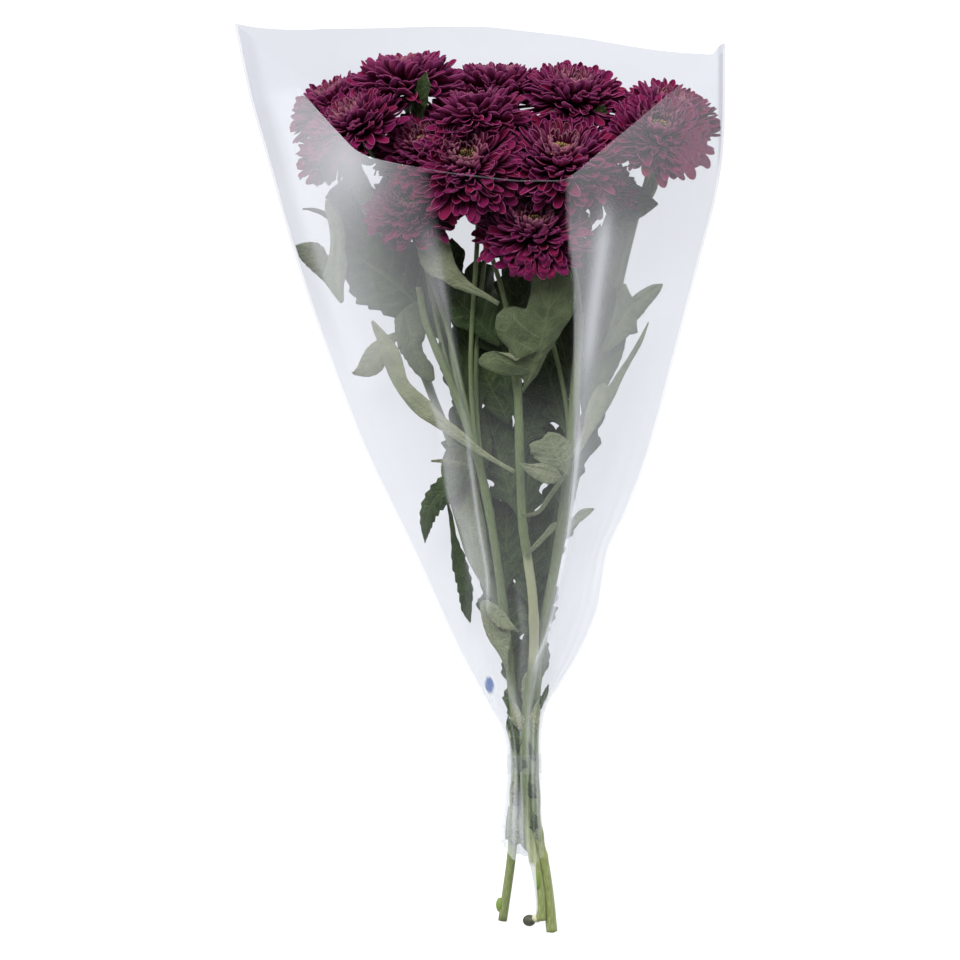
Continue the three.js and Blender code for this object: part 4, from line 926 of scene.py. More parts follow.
def gathers(girth, y, draws):
    """How far the film stands out from its plain shape, for each place's share of the girth."""
    total = np.zeros_like(y)
    for count, weight, sharp in GATHERS:
        phase = draws.random() * np.pi
        drift = 0.5 * np.sin(y / 47 + draws.random() * 6)
        drift = drift + 0.3 * np.sin(y / 19 + draws.random() * 6)
        spread = 0.6 * np.sin(girth * 2 * np.pi + draws.random() * 6)
        wave = np.abs(np.sin(girth * count * np.pi + phase + drift * 0.5 + spread))
        keep = 0.55 + 0.45 * np.sin(girth * 5 * np.pi + y / 70 + draws.random() * 6)
        total += weight * keep * (1 - wave**sharp)
    return total


def ends_faded(keys, y, before, after):
    """1 along a line's heights y, fading out over (outer, inner) lengths at its ends."""
    low, high = keys[0], keys[-1]
    return smooth(low - before[0], low + before[1], y) * smooth(
        high + after[0], high - after[1], y)


def creases(x, y):
    """Height of the listed creases of the front film."""
    total = np.zeros_like(x)
    for rows, height, width in CREASES:
        line = Line(rows)
        fade = ends_faded(line.keys, y, (14, 10), (16, 12))
        away = np.abs(x - line(y)) / width
        total += height * fade * np.exp(-np.sqrt(away**2 + 0.04) + 0.2)
    return total


NECK_ROWS, UPPER_ROWS = 60, 104
NECK_SHARE = 0.26                # share of the sleeve's length that the neck rows cover
# A strip of the hem that hangs down between the stems.
TONGUE_X, TONGUE_HALF, TONGUE_LENGTH = 30.4, 2.3, 35
TONGUE_DRIFT, TONGUE_DROP = 0.12, 0.06   # how far it goes aside and down for its length
HEM_RISE = 10.5                          # how much higher the hem is at its left
MOUTH_SHARES = [0.9978, 0.9984, 1.0]     # rows close together at the cut edge
MOUTH_GUESS, SETTLE_STEPS = 230.0, 40    # where the search for the cut edge starts, its steps
GIRTH_Y = -180.0                         # the girth is measured round the neck here
WELD_ROOT, WELD_GAP = 0.4, 0.01          # how far the inner film starts past the weld, and over it
LOWEST = 0.12                            # height of the film's lowest face

# How bright the front film looks, by the share of the way from a fold to its seam: its haze and a
# painted reflection of the light on the slopes.
LEFT_VEIL = Line([[0, 0], [0.05, 0.05], [0.14, 0.1], [0.25, 0.13], [0.4, 0.17], [0.55, 0.25],
                  [0.7, 0.34], [0.82, 0.32], [0.9, 0.08], [1, 0]])
RIGHT_VEIL = Line([[0, 0], [0.02, 0.19], [0.3, 0.23], [0.6, 0.19], [1, 0.14]])
RIGHT_VEIL_START = Line([[-150, 30], [-124, 30.7], [-92, 42], [-45, 52], [6, 57], [60, 57],
                         [120, 56], [150, 52.5], [190, 51.5]])

# Painted highlights along the folds of the front film: their middle as [y, x], brightness, width to
# the left and to the right, and how far their ends fade.
SHEEN_BANDS = [
    ([[-78, 0.6], [-56, -5.6], [-31, -11.2], [-12, -18.6], [6, -21], [30, -24], [52, -31]],
     0.27, 1.6, 11, 12),
    ([[-78, 4.8], [-59, 4.2], [-24, -1.4], [20, -7]], 0.30, 1.1, 1.1, 16),
    ([[20, -7], [43, -10.4], [124, -24.2]], 0.13, 1.3, 1.6, 20),
    ([[-124, 30.7], [-92.5, 42.4], [-45, 52.3], [6, 58.5], [85, 67], [133, 72.7], [160, 75]],
     0.13, 6, 6, 18),
    ([[-112, 35.4], [-92.5, 42.9], [-45, 52.8], [6, 58.8], [30, 60.8]], 0.32, 1.1, 1.6, 16),
    ([[70, 65], [110, 70], [133, 73.4], [160, 77]], 0.2, 5, 4, 18),
    ([[-150, 24], [-100, 27], [-70, 24]], 0.10, 2, 3, 14),
    ([[105, -25], [128, -27], [150, -31]], 0.12, 6, 5, 10),
]

# Heights y over which each part of the veil comes in, as (none, full).
LEFT_COMES, RIGHT_FADES, MOUTH_CLEARS = (20, 105), (140, 172), (227, 247)
MIDDLE_COMES, NECK_COMES, HEM_COMES = (75, 10), (-105, -150), (-192, -212)
BACK_NECK_Y = -120               # the back film is only milky below this height

# Round patches as middle [x, y], half sizes [x, y]: the milky one and the blue print.
PATCH, PATCH_VEIL = ([-79, 193], [21, 30]), 0.39
PRINT = [5.9, -129], [2.6, 5]

FILM_VALUES = ["haze", "front", "ink", "strip", "flat_x", "flat_y"]


def veil_to_haze(veil):
    """The share of milky white that both faces of a film need for a brightness."""
    return 1 - np.sqrt(1 - np.clip(veil, 0, 0.9))


def patch_distance(patch, x, y):
    """Squared distance from a patch's middle, 1 at its rim."""
    middle, half = patch
    return ((x - middle[0]) / half[0]) ** 2 + ((y - middle[1]) / half[1]) ** 2


def haze_and_sheen_of(front, x, y, girth):
    """How milky the film looks, as haze and painted reflection of the light: the sloping sides more
    than the level middle, and more in bands along the folds.
    """
    fold, left = LINES["left_fold"](y) + 4, LINES["left"](y)
    veil = LEFT_VEIL(np.clip((fold - x) / (fold - left), 0, 1))
    veil = veil * (0.04 + 0.96 * smooth(*LEFT_COMES, y))
    start, end = RIGHT_VEIL_START(y), LINES["right"](y)
    right_side = RIGHT_VEIL(np.clip((x - start) / (end - start), 0, 1))
    veil = np.maximum(veil, right_side * (1.15 - 0.52 * smooth(*RIGHT_FADES, y)))
    veil = veil * (1 - smooth(*MOUTH_CLEARS, y))
    veil = np.maximum(veil, 0.065 * smooth(*MIDDLE_COMES, y) * smooth(-13, -6, x))
    for rows, brightness, to_left, to_right, fade in SHEEN_BANDS:
        line = Line(rows)
        away = x - line(y)
        across = np.exp(-((away / np.where(away < 0, to_left, to_right)) ** 2))
        veil = veil + brightness * across * ends_faded(line.keys, y, (fade, fade), (fade, fade))
    neck = 0.11 + 0.17 * np.sin(girth * 43 + y / 31) * np.sin(girth * 71 - y / 23 + 1)
    neck = np.maximum(neck, 0.03) + 0.2 * smooth(*HEM_COMES, y) * smooth(30, 20, x)
    veil = veil + (1 - veil) * PATCH_VEIL * np.exp(-patch_distance(PATCH, x, y))
    veil = veil + (neck - veil) * smooth(*NECK_COMES, y)
    haze = veil_to_haze(np.where(front, veil, np.where(y < BACK_NECK_Y, neck * 0.6, 0.0)))
    # A thin painted highlight along the cut edge.
    haze[-2:] = np.maximum(haze[-2:], 0.04 * smooth(236, 222, y[-2:]))   # the cut edge
    return np.maximum(haze, 0.34 * smooth(HEM_Y - 1, HEM_Y - 4, y))       # the tongue


def strip_of(front, x, y, beside):
    """How much greyer the film is: at its sides, on the back and beside the tongue."""
    strip = smooth(147.4, 148.2, x) * smooth(150, 215, y)
    strip = np.maximum(strip, smooth(HEM_Y - 2, HEM_Y - 6, y) * beside)
    back = 0.3 * smooth(20, -100, x) * smooth(60, 160, y)
    strip = np.maximum(strip, np.where(front, 0, back))
    return np.maximum(strip, 0.5 * smooth(16, 6, x - LINES["left"](y)) * smooth(60, 150, y))


def film_heights(places, neck, girth):
    """Heights y of every row of the sleeve, from its hem to the cut edges of its mouth."""
    zone, _, front, _ = places
    top = np.full((1, len(zone)), MOUTH_GUESS)
    for _ in range(SETTLE_STEPS):
        x = film_points(places, top)[..., 0]
        top = top + 0.6 * (np.where(front, EDGE_LINE(x), BACK_LINE(x)) - top)
    away = (neck[:, 0] - TONGUE_X) / TONGUE_HALF
    hem = HEM_Y - np.where(front & (zone >= SLOPE), TONGUE_LENGTH * np.exp(-away**4), 0)
    hem = hem + HEM_RISE * smooth(23.5, 16.5, neck[:, 0])
    hem = hem + 0.8 * np.sin(girth * 9 * np.pi) + 0.5 * np.sin(girth * 23 * np.pi)
    low = np.linspace(0, NECK_SHARE, NECK_ROWS, endpoint=False)
    high = np.linspace(NECK_SHARE, 1, UPPER_ROWS)[:-1]
    return hem + (top - hem) * np.r_[low, high, MOUTH_SHARES][:, None]


def film_surfaces(places, y, girths):
    """The film's outer points with gathers, creases and bent seams, and its inner points."""
    zone, share, front, right = places
    points = film_points(places, y)
    free = np.where(zone >= SLOPE, smooth(0, 0.12, np.where(zone == SLOPE, share, 1.0)), 0)
    stand = gathers(girths, y, np.random.default_rng(SLEEVE_SEED)) * Line(PLEATS)(y) * free
    points = points + ring_normals(points) * stand[..., None]
    points[..., 2] += creases(points[..., 0], y) * free * front
    bend = (1.4 * np.sin(y / 38) + 0.9 * np.sin(y / 17 + 1)) * smooth(-120, 0, y)
    points[..., 2] += bend * np.where(zone == SLOPE, 1 - smooth(0, 0.2, share), zone < SLOPE)
    below = np.maximum(HEM_Y - y, 0)
    points[..., 0] += TONGUE_DRIFT * below
    points[..., 2] = np.maximum(points[..., 2] - TONGUE_DROP * below, LOWEST + FILM)
    inside = points - ring_normals(points) * FILM
    left_x, right_x, weld, _, _, seam, _ = section(y, front)
    root = np.where(right, right_x - weld - WELD_ROOT, left_x + weld + WELD_ROOT)
    pinned = np.stack([root, y, np.where(front, WELD_GAP, -WELD_GAP) + seam + bend], -1)
    welded = (zone <= FLANGE) | ((zone == SLOPE) & (share == 0))
    inside = np.where(welded[None, :, None], pinned, inside)
    inside[..., 2] = np.maximum(inside[..., 2], 0.1)
    return points, inside


def sleeve_quads(rows, columns):
    """Quads of a wall open at both ends: outer grid, inner grid after it, and the two rims."""
    quads = grid_quads(rows, columns, wrap=True)
    size = rows * columns
    ring = np.arange(columns)
    after = (ring + 1) % columns
    last = (rows - 1) * columns
    hem = np.stack([ring, ring + size, after + size, after], -1)
    mouth = np.stack([last + ring, last + after, last + after + size, last + ring + size], -1)
    return np.r_[quads[:, ::-1], quads + size, hem[:, ::-1], mouth[:, ::-1]]


def make_sleeve():
    """The film sleeve: two thin walls welded along both sides, open at mouth and hem."""
    places = film_places()
    front = places[2]
    neck = film_points(places, np.full((1, len(front)), GIRTH_Y))[0]
    steps = np.linalg.norm(np.roll(neck, -1, axis=0) - neck, axis=1)
    girth = np.cumsum(steps) / steps.sum()
    y = film_heights(places, neck, girth)
    girths = np.broadcast_to(girth, y.shape)
    points, inside = film_surfaces(places, y, girths)
    x = points[..., 0]
    values = twice({
        "haze": haze_and_sheen_of(front, x, y, girths),
        "front": np.where(front, 1, 0.15 * smooth(250, 150, y)),
        "ink": 0.85 * np.where(front, smooth(1.1, 0.8, patch_distance(PRINT, x, y)), 0),
        "strip": strip_of(front, x, y, neck[:, 0] < TONGUE_X - 0.9),
        "flat_x": (girths - 0.5) * (LINES["right"](y) - LINES["left"](y)) * 2.2,
        "flat_y": y,
    })
    film = Build(*FILM_VALUES)
    film.add(np.r_[points.reshape(-1, 3), inside.reshape(-1, 3)], sleeve_quads(*y.shape), **values)
    film.piece("sleeve_film", [FILM_LOOK], "clear_film", "sleeve").visible_shadow = False


def make_tape():
    """The band of clear tape round the neck, a little uneven."""
    draws = np.random.default_rng(TAPE_SEED)
    sides, rows = 96, 9
    turn = turns_round(sides)
    ripple = sum(0.12 * np.sin(turn * n + draws.random() * 6) for n in (5, 9, 14))
    slant = 0.5 * np.sin(turn + 0.6)
    outer, inner = [], []
    for i, y in enumerate(np.linspace(TAPE_LOW_Y, TAPE_HIGH_Y, rows)):
        swell = 0.08 * math.sin(i * 1.9)
        for rings, radius in ((outer, TAPE_RADIUS + TAPE_THICKNESS), (inner, TAPE_RADIUS)):
            r = radius + ripple + swell
            ring = [NECK_X + r * np.cos(turn), y + slant, NECK_Z + r * np.sin(turn)]
            rings.append(np.stack(ring, -1))
    loop = np.concatenate([outer, inner[::-1], outer[:1]])
    band = Build(*FILM_VALUES)
    band.add(loop, grid_quads(len(loop), sides, wrap=True), haze=0.035,
             flat_x=np.tile(turn * 12, len(loop)), flat_y=np.repeat(np.arange(len(loop)), sides))
    band.piece("neck_tape_band", [TAPE_LOOK], "clear_tape", "neck_tape").visible_shadow = False


# ------------------------------------------------------------------ flower heads

FLORETS = 300
FLORET_ROWS = np.array([0, 0.18, 0.36, 0.52, 0.66, 0.77, 0.85, 0.91, 0.95, 0.98, 1.0])
FLORET_COLUMNS = np.array([-1, -0.7, -0.36, 0, 0.36, 0.7, 1])
FLORET_THICKNESS = 0.4
GOLDEN = math.pi * (3 - math.sqrt(5))

# From the outermost floret (0) to the innermost (1): length, first and last steepness in degrees,
# radius and height of the root, width, and how far the blade is rolled up, in radians.
FLORET_LENGTH = Line([[0, 28], [0.3, 26.5], [0.6, 22], [0.85, 15], [1, 9]])
FLORET_START = Line([[0, 4], [0.3, 17], [0.6, 34], [0.85, 54], [1, 74]])
FLORET_END = Line([[0, -18], [0.15, -10], [0.3, 4], [0.6, 32], [0.85, 64], [1, 94]])
FLORET_ROOT = Line([[0, 6.4], [1, 4.6]])
FLORET_HEIGHT = Line([[0, 2], [0.5, 7], [1, 11.5]])
FLORET_WIDTH = Line([[0, 6.2], [0.4, 5.8], [0.7, 5], [1, 3.2]])
FLORET_CUP = Line([[0, 0.6], [0.3, 0.9], [0.6, 1.2], [0.85, 1.45], [1, 1.7]])
# The dark middle that the ray florets grow from and the one under the tube florets, as radius
# and height.
CORE = [(0.01, 2.6), (6.6, 2.8), (8.8, 4.6), (8.6, 7.5), (7, 10.4), (4.6, 12.2), (0.01, 12.4)]
DISC_CORE = [(0.01, 9.0), (4.6, 9.0), (4.9, 12.4), (3.6, 13.6), (1.8, 14.0), (0.01, 14.1)]
DISC_FLORETS, DISC_SIDES, DISC_RADIUS = 74, 6, 4.9
HALF_WIDTH = Line([[0, 0.3], [0.2, 0.46], [0.45, 0.76], [0.68, 0.97], [0.8, 1], [0.9, 0.9],
                   [0.95, 0.72], [0.98, 0.48], [1, 0.16]])


def head_place(at, lean, turn, size):
    """The middle of a head's underside, and the way it faces."""
    lean, turn = math.radians(lean), math.radians(turn)
    axis = np.array([math.sin(turn) * math.cos(lean), math.cos(turn) * math.cos(lean),
                     math.sin(lean)])
    return np.array(at, float) - axis * HEAD_MIDDLE * size, axis


def seated(points, base, axis):
    """Points of a head's own frame, +Z out of the flower, turned and moved to its base."""
    turn = Vector((0, 0, 1)).rotation_difference(Vector(axis)).to_matrix()
    return points @ np.array(turn).T + base


def floret_blades(draws, size):
    """Upper and lower surface of every ray floret of a head, with the values its colours use."""
    number = np.arange(FLORETS)
    ring = ((number + 0.5) / FLORETS) ** 1.12

    def jitter(spread):
        return (draws.random(FLORETS) * 2 - 1) * spread

    spin = number * GOLDEN + jitter(0.14)
    ring = np.clip(ring + jitter(0.04), 0, 1)
    length = FLORET_LENGTH(ring) * (1 + jitter(0.12))
    start = np.radians(FLORET_START(ring) + jitter(8))
    end = np.radians(FLORET_END(ring) + jitter(15))
    width = FLORET_WIDTH(ring) * (1 + jitter(0.12)) / 2
    cup = FLORET_CUP(ring) * (1 + jitter(0.3))
    s = FLORET_ROWS
    steep = start[:, None] + (end - start)[:, None] * s**1.25
    steep = steep + np.radians(24 + jitter(30))[:, None] * smooth(0.66, 1, s)
    step = np.diff(s, prepend=0)
    middle = np.concatenate([steep[:, :1], (steep[:, 1:] + steep[:, :-1]) / 2], 1)
    out = FLORET_ROOT(ring)[:, None] + np.cumsum(np.cos(middle) * step, 1) * length[:, None]
    up = FLORET_HEIGHT(ring)[:, None] + np.cumsum(np.sin(middle) * step, 1) * length[:, None]
    turn = spin[:, None] + jitter(0.16)[:, None] * s**2
    radial = np.stack([np.cos(turn), np.sin(turn), np.zeros_like(turn)], -1)
    level = np.stack([-np.sin(turn), np.cos(turn), np.zeros_like(turn)], -1)
    centre = radial * out[..., None]
    centre[..., 2] = up
    normal = radial * -np.sin(steep)[..., None]
    normal[..., 2] = np.cos(steep)
    roll = jitter(0.3)[:, None] + jitter(0.8)[:, None] * s
    side = level * np.cos(roll)[..., None] + normal * np.sin(roll)[..., None]
    normal = normal * np.cos(roll)[..., None] - level * np.sin(roll)[..., None]
    uneven = 1 + 0.1 * np.sin(s * 9 + draws.random((FLORETS, 1)) * 6)
    half = width[:, None] * HALF_WIDTH(s) * uneven
    bend = cup[:, None] * (0.6 + 0.4 * s)
    c = FLORET_COLUMNS
    angle = bend[..., None] * c
    reach = (half / bend)[..., None]
    aside = reach * np.sin(angle)
    groove = 0.22 * np.cos(c * 2 * np.pi) * np.sin(np.pi * s)[:, None]
    lift = reach * (1 - np.cos(angle)) + groove
    side, normal, angle = side[:, :, None], normal[:, :, None], angle[..., None]
    blade = centre[:, :, None] + side * aside[..., None] + normal * lift[..., None]
    outward = normal * np.cos(angle) - side * np.sin(angle)
    thin = (0.55 + 0.45 * smooth(1.0, 0.8, s))[:, None, None]
    under = blade - outward * FLORET_THICKNESS * thin
    full = blade.shape[:3]
    values = {
        "along": np.broadcast_to(s[None, :, None], full),
        "across": np.broadcast_to(c[None, None, :], full),
        "tone": np.broadcast_to(draws.random(FLORETS)[:, None, None], full),
        "ring": np.broadcast_to(ring[:, None, None], full),
    }
    return blade * size, under * size, values


def make_bloom(index, name, at, lean, turn, size):
    """The ray florets of a head, on a dark middle."""
    draws = np.random.default_rng(BLOOM_SEED + index)
    base, axis = head_place(at, lean, turn, size)
    upper, under, values = floret_blades(draws, size)
    rows, columns = len(FLORET_ROWS), len(FLORET_COLUMNS)
    starts = np.arange(FLORETS)[:, None, None] * rows * columns * 2
    quads = (shell_quads(rows, columns)[None] + starts).reshape(-1, 4)
    both = {key: np.stack([rows_, rows_], 1).ravel() for key, rows_ in values.items()}
    both["upper"] = np.stack([np.ones(upper.shape[:3]), np.zeros(upper.shape[:3])], 1).ravel()
    florets = Build("along", "across", "tone", "ring", "upper")
    points = kept_inside(seated(np.stack([upper, under], 1).reshape(-1, 3), base, axis))
    florets.add(points, quads[:, ::-1], **both)
    core, core_quads = lathe(CORE, 24)
    # The middle takes the florets' darkest base colour, which is partly painted shade.
    florets.add(seated(core * size, base, axis), core_quads, upper=1.0, ring=0.4, tone=0.5)
    florets.piece(f"bloom_{name}_florets", [PETAL], "petals", f"bloom_{name}")


def make_disc(index, name, at, lean, turn, size):
    """The small tube florets in the middle of a head, open round the rim and shut inside."""
    draws = np.random.default_rng(DISC_SEED + index)
    base, axis = head_place(at, lean, turn, size)
    build = Build("along", "tone", "ring")
    core, core_quads = lathe(DISC_CORE, 18)
    build.add(seated(core * size, base, axis), core_quads, ring=1.0, along=0.1)
    turns = turns_round(DISC_SIDES)
    for k in range(DISC_FLORETS):
        place = math.sqrt((k + 0.5) / DISC_FLORETS)
        out = np.array([math.cos(k * GOLDEN), math.sin(k * GOLDEN), 0])
        start = out * place * DISC_RADIUS + np.array([0, 0, 14.0 - 2.4 * place**2])
        tilt = unit(out + np.array([0, 0, 2.2 / (place + 0.15)]))
        tall = (2.0 + 1.9 * place) * (0.85 + 0.3 * draws.random())
        mouth = 0.34 + 0.42 * smooth(0.45, 0.9, place)
        profile = [(0.01, 0), (0.30, 0.05), (0.30, 0.6), (mouth, 0.93), (mouth * 0.75, 1.0),
                   (0.01, 0.86)]
        side = unit(np.cross(tilt, [0, 0, 1.0]) + 1e-6)
        around = np.outer(np.cos(turns), side) + np.outer(np.sin(turns), np.cross(tilt, side))
        rows = np.array([start + tilt * tall * h + around * r for r, h in profile])
        build.add(seated(rows.reshape(-1, 3) * size, base, axis),
                  grid_quads(len(profile), DISC_SIDES, wrap=True),
                  along=np.repeat([h for _, h in profile], DISC_SIDES), tone=draws.random(),
                  ring=1 - place)
    build.piece(f"disc_{name}_florets", [DISC], "disc_florets", f"disc_{name}")


# ------------------------------------------------------------------ leafy stems

STEM_ROWS = 90
LEAF_ROWS, LEAF_HALF_COLUMNS = 66, 8
LOBED = Line([[0, 0.035], [0.08, 0.03], [0.17, 0.045], [0.235, 0.12], [0.28, 0.27], [0.325, 0.34],
              [0.365, 0.31], [0.41, 0.18], [0.44, 0.185], [0.49, 0.36], [0.54, 0.47], [0.595, 0.5],
              [0.64, 0.41], [0.68, 0.25], [0.715, 0.245], [0.765, 0.34], [0.815, 0.37],
              [0.87, 0.30], [0.92, 0.19], [0.965, 0.08], [1, 0.01]])
PLAIN = Line([[0, 0.035], [0.15, 0.04], [0.22, 0.1], [0.34, 0.31], [0.48, 0.46], [0.6, 0.49],
              [0.74, 0.39], [0.86, 0.22], [0.95, 0.08], [1, 0.01]])
LEAF_LEAN = Line([[0.2, 0], [0.32, 0.035], [0.43, 0.0], [0.58, 0.06], [0.7, 0.005], [0.84, 0.05],
                  [0.94, 0.02], [1, 0]])
LEAF_THICKNESS = 0.4
LEAF_SHARES = np.linspace(0, 1, LEAF_ROWS)
LEAF_COLUMNS = np.linspace(-1, 1, 2 * LEAF_HALF_COLUMNS + 1)
LEAF_EDGE = np.abs(LEAF_COLUMNS)     # 0 on the rib, 1 at the edges
# The blade swells between its side veins.
VEIN_WAVES = np.sin((LEAF_SHARES[:, None] - VEIN_SLANT * LEAF_EDGE) * VEIN_PAIRS * 2 * np.pi)


def toothed(count, draws):
    """Saw teeth along a leaf's edge, leaning to its tip."""
    teeth = (LEAF_SHARES * count + draws.random()) % 1
    return np.minimum(teeth, 4 * (1 - teeth)) - 0.4


def waves(slow, quick, draws):
    """Two waves that run along a blade, slanting across it."""
    phase = draws.random(4) * 6
    t, c = LEAF_SHARES[:, None], LEAF_COLUMNS
    return np.sin(t * slow + phase[0] + c * 1.5) * 0.6 + np.sin(t * quick + phase[1] - c) * 0.4


def add_blade(build, upper, normal, flat_x, length, faces, mirrored, tone):
    """A closed blade, thickest at its rib; faces: the value "upper" of its two surfaces."""
    rows, columns = upper.shape[:2]
    thick = LEAF_THICKNESS * (1 + 1.4 * np.exp(-((flat_x / 1.1) ** 2)))
    under = upper - normal * thick[..., None]
    values = twice({
        "along": np.repeat(LEAF_SHARES, columns), "across": np.tile(LEAF_COLUMNS, rows),
        "flat_x": flat_x, "flat_y": np.repeat(LEAF_SHARES * length, columns),
    })
    points = kept_inside(np.r_[upper.reshape(-1, 3), under.reshape(-1, 3)])
    quads = shell_quads(rows, columns)
    build.add(points, quads[:, ::-1] if mirrored else quads, kind=1, tone=tone,
              upper=np.repeat(faces, rows * columns), **values)


def add_leaf(build, stem, leaf, draws):
    """One lobed blade with its stalk, arched along its rib and waved at its edges."""
    _, at, bend, tip, width, roll, turned, lobing = leaf
    root = np.array(at, float) if isinstance(at, list) else stem.at_height(at)[0]
    bend, tip = np.array(bend, float), np.array(tip, float)
    t, c = LEAF_SHARES, LEAF_COLUMNS

    def rib(u):
        u = u[..., None]
        return (1 - u) ** 2 * root + 2 * u * (1 - u) * bend + u**2 * tip

    tangent = unit((2 * (1 - t))[:, None] * (bend - root) + (2 * t)[:, None] * (tip - bend))
    level = unit(np.stack([tangent[:, 1], -tangent[:, 0], np.zeros(LEAF_ROWS)], -1))
    roll = math.radians(roll) + 0.12 * np.sin(t * 5 + draws.random() * 6)[:, None]
    side = level * np.cos(roll) + np.cross(level, tangent) * np.sin(roll)
    normal = np.cross(side, tangent)
    blade = smooth(0.2, 0.36, t)
    uneven = 1 + 0.08 * np.sin(t * 9 + draws.random() * 6)
    outline = PLAIN(t) + (LOBED(t) - PLAIN(t)) * lobing
    fold = 0.5 * draws.random() - 0.15
    sharp, count = (0.12, 7) if turned else (0.2, 8)
    halves = []
    for _ in range(2):
        teeth = toothed(count, draws)
        skew = 1 + 0.12 * np.sin(t * 6 + draws.random() * 6)
        halves.append(outline * (1 + sharp * teeth * blade) * skew * uneven)
    half = np.where(c[None, :] < 0, halves[0][:, None], halves[1][:, None]) * width
    half = np.maximum(half, 0.5)
    edge = LEAF_EDGE
    middle = rib(np.clip(t[:, None] + LEAF_LEAN(t)[:, None] * edge**1.5, 0, 1))
    wave = waves(24, 41, draws)
    lift = half * (fold * edge - 0.2 * edge**2) + wave * edge**2 * blade[:, None] * 0.055 * width
    quilt = (0.2 + 0.01 * width) * VEIN_WAVES * np.sin(np.pi * np.minimum(edge * 1.2, 1))
    lift = lift + quilt * blade[:, None]
    upper = middle + side[:, None] * (c * half)[..., None] + normal[:, None] * lift[..., None]
    length = np.linalg.norm(np.diff(rib(t), axis=0), axis=1).sum()
    way = -1 if turned else 1
    add_blade(build, upper, normal[:, None] * way, c * half, length, [1.0, 0.0], turned,
              draws.random())


def add_front_leaf(build, leaf, draws):
    """A blade between three given lines: its rib and its two edges."""
    _, pale, bow, low, high, depth, rows = leaf
    stations = np.array(rows).reshape(-1, 3, 2)
    heights = np.linspace(low, high, len(stations))[:, None, None] * np.ones((1, 3, 1))
    tracks = np.concatenate([stations, heights], -1)
    lines = [Path(tracks[:, k]).line(LEAF_ROWS) for k in range(3)]
    t, c = LEAF_SHARES, LEAF_COLUMNS
    edge = LEAF_EDGE
    blade = np.sin(np.pi * t) ** 0.5
    reach = []
    for line in lines[1:]:
        teeth = toothed(len(rows) * 1.3, draws)
        reach.append((line - lines[0]) * (1 + depth * teeth * blade)[:, None])
    reach = np.where((c < 0)[None, :, None], reach[0][:, None], reach[1][:, None])
    half = np.linalg.norm(reach, axis=-1)
    upper = lines[0][:, None] + reach * edge[None, :, None]
    wave = waves(17, 31, draws)
    swell = bow * (1 - edge**2) - bow * 0.5 * np.cos(edge * 3.0 * np.pi / 2) * (edge < 0.34)
    lobes = VEIN_WAVES * np.sin(np.pi * edge)
    lift = swell + wave * edge**2 * 0.08 * half + lobes * (0.1 + 0.018 * half)
    upper[..., 2] += lift * blade[:, None]
    normal = unit(np.cross(np.gradient(upper, axis=1), np.gradient(upper, axis=0)))
    flipped = np.median(normal[..., 2]) < 0
    normal = -normal if flipped else normal
    length = np.linalg.norm(np.diff(lines[0], axis=0), axis=1).sum()
    add_blade(build, upper, normal, c * half, length, [1 - pale, float(pale > 0.5)], flipped,
              0.3 + 0.5 * draws.random())


def add_tube(build, points, radii, sides, draws, swell=None, **values):
    """A closed tube round a line; values may be one for each of its rings."""
    rings = closed_rings(tube_rings(points, radii, sides, swell))
    lengths = np.r_[0, np.cumsum(np.linalg.norm(np.diff(points, axis=0), axis=1))]
    lengths = with_ends(lengths)
    rows = len(rings)
    values = {key: (np.repeat(v, sides) if np.ndim(v) else v) for key, v in values.items()}
    build.add(rings, grid_quads(rows, sides, wrap=True), flat_y=np.repeat(lengths, sides),
              across=np.tile(np.arange(sides) / sides * 6.28, rows), tone=draws.random(), **values)


# The green cup under a head as height and radius, and its rows of scales as height, number,
# radius and length.
CUP = [(0, 1.4), (1.5, 2), (3.2, 3.8), (5.2, 5.6), (7.4, 6.9), (9.4, 7.5), (10.2, 6.6)]
SCALE_ROWS = [(2.6, 9, 3.4, 5.4), (5.0, 12, 5.6, 5.8)]


def add_branch(build, stem, head, draws):
    """The thin branch and the green cup of one head, with its rows of small scales."""
    _, _, fork, at, lean, turn, size = head
    point, _, tangent = stem.at_height(fork)
    base, axis = head_place(at, lean, turn, size)
    seat = base + axis * (1.4 * size - 0.3)
    neck = seat - axis * CUP_DEPTH
    reach = 0.4 * np.linalg.norm(neck - point)
    corners = [point, point + tangent * reach, neck - axis * reach, neck + axis]
    t = np.linspace(0, 1, 26)[:, None]
    line = ((1 - t) ** 3 * corners[0] + 3 * t * (1 - t) ** 2 * corners[1]
            + 3 * t**2 * (1 - t) * corners[2] + t**3 * corners[3])
    radii = BRANCH_RADIUS * (1 + 0.25 * np.exp(-t[:, 0] * 12))
    add_tube(build, line, radii, 10, draws, swell=lambda a: 1 + 0.06 * np.cos(5 * a))
    heights, widths = np.array(CUP).T
    add_tube(build, neck + np.outer(heights, axis), widths * size, 20, draws)
    s, c = np.linspace(0, 1, 5), np.linspace(-1, 1, 3)
    wide = 1.5 * np.sqrt(np.maximum(1 - s**2.2, 0.02))
    for row, (height, count, radius, long_) in enumerate(SCALE_ROWS):
        out = ((radius + 1.5 * np.sin(s * 1.5)) * size)[:, None] + 0.25 - 0.25 * c**2
        rise_ = np.broadcast_to((height + long_ * s)[:, None], out.shape)
        for k in range(count):
            spin = (k + 0.5 * row) / count * 2 * math.pi
            angle = spin + wide[:, None] * c / (radius + 1.0)
            surface = np.stack([np.cos(angle) * out, np.sin(angle) * out, rise_], -1)
            inner = surface * np.array([0.93, 0.93, 1])
            points = seated(np.r_[surface.reshape(-1, 3), inner.reshape(-1, 3)], neck, axis)
            build.add(points, shell_quads(5, 3), across=spin,
                      flat_y=np.tile(np.repeat(s, 3), 2) * 5, tone=draws.random())


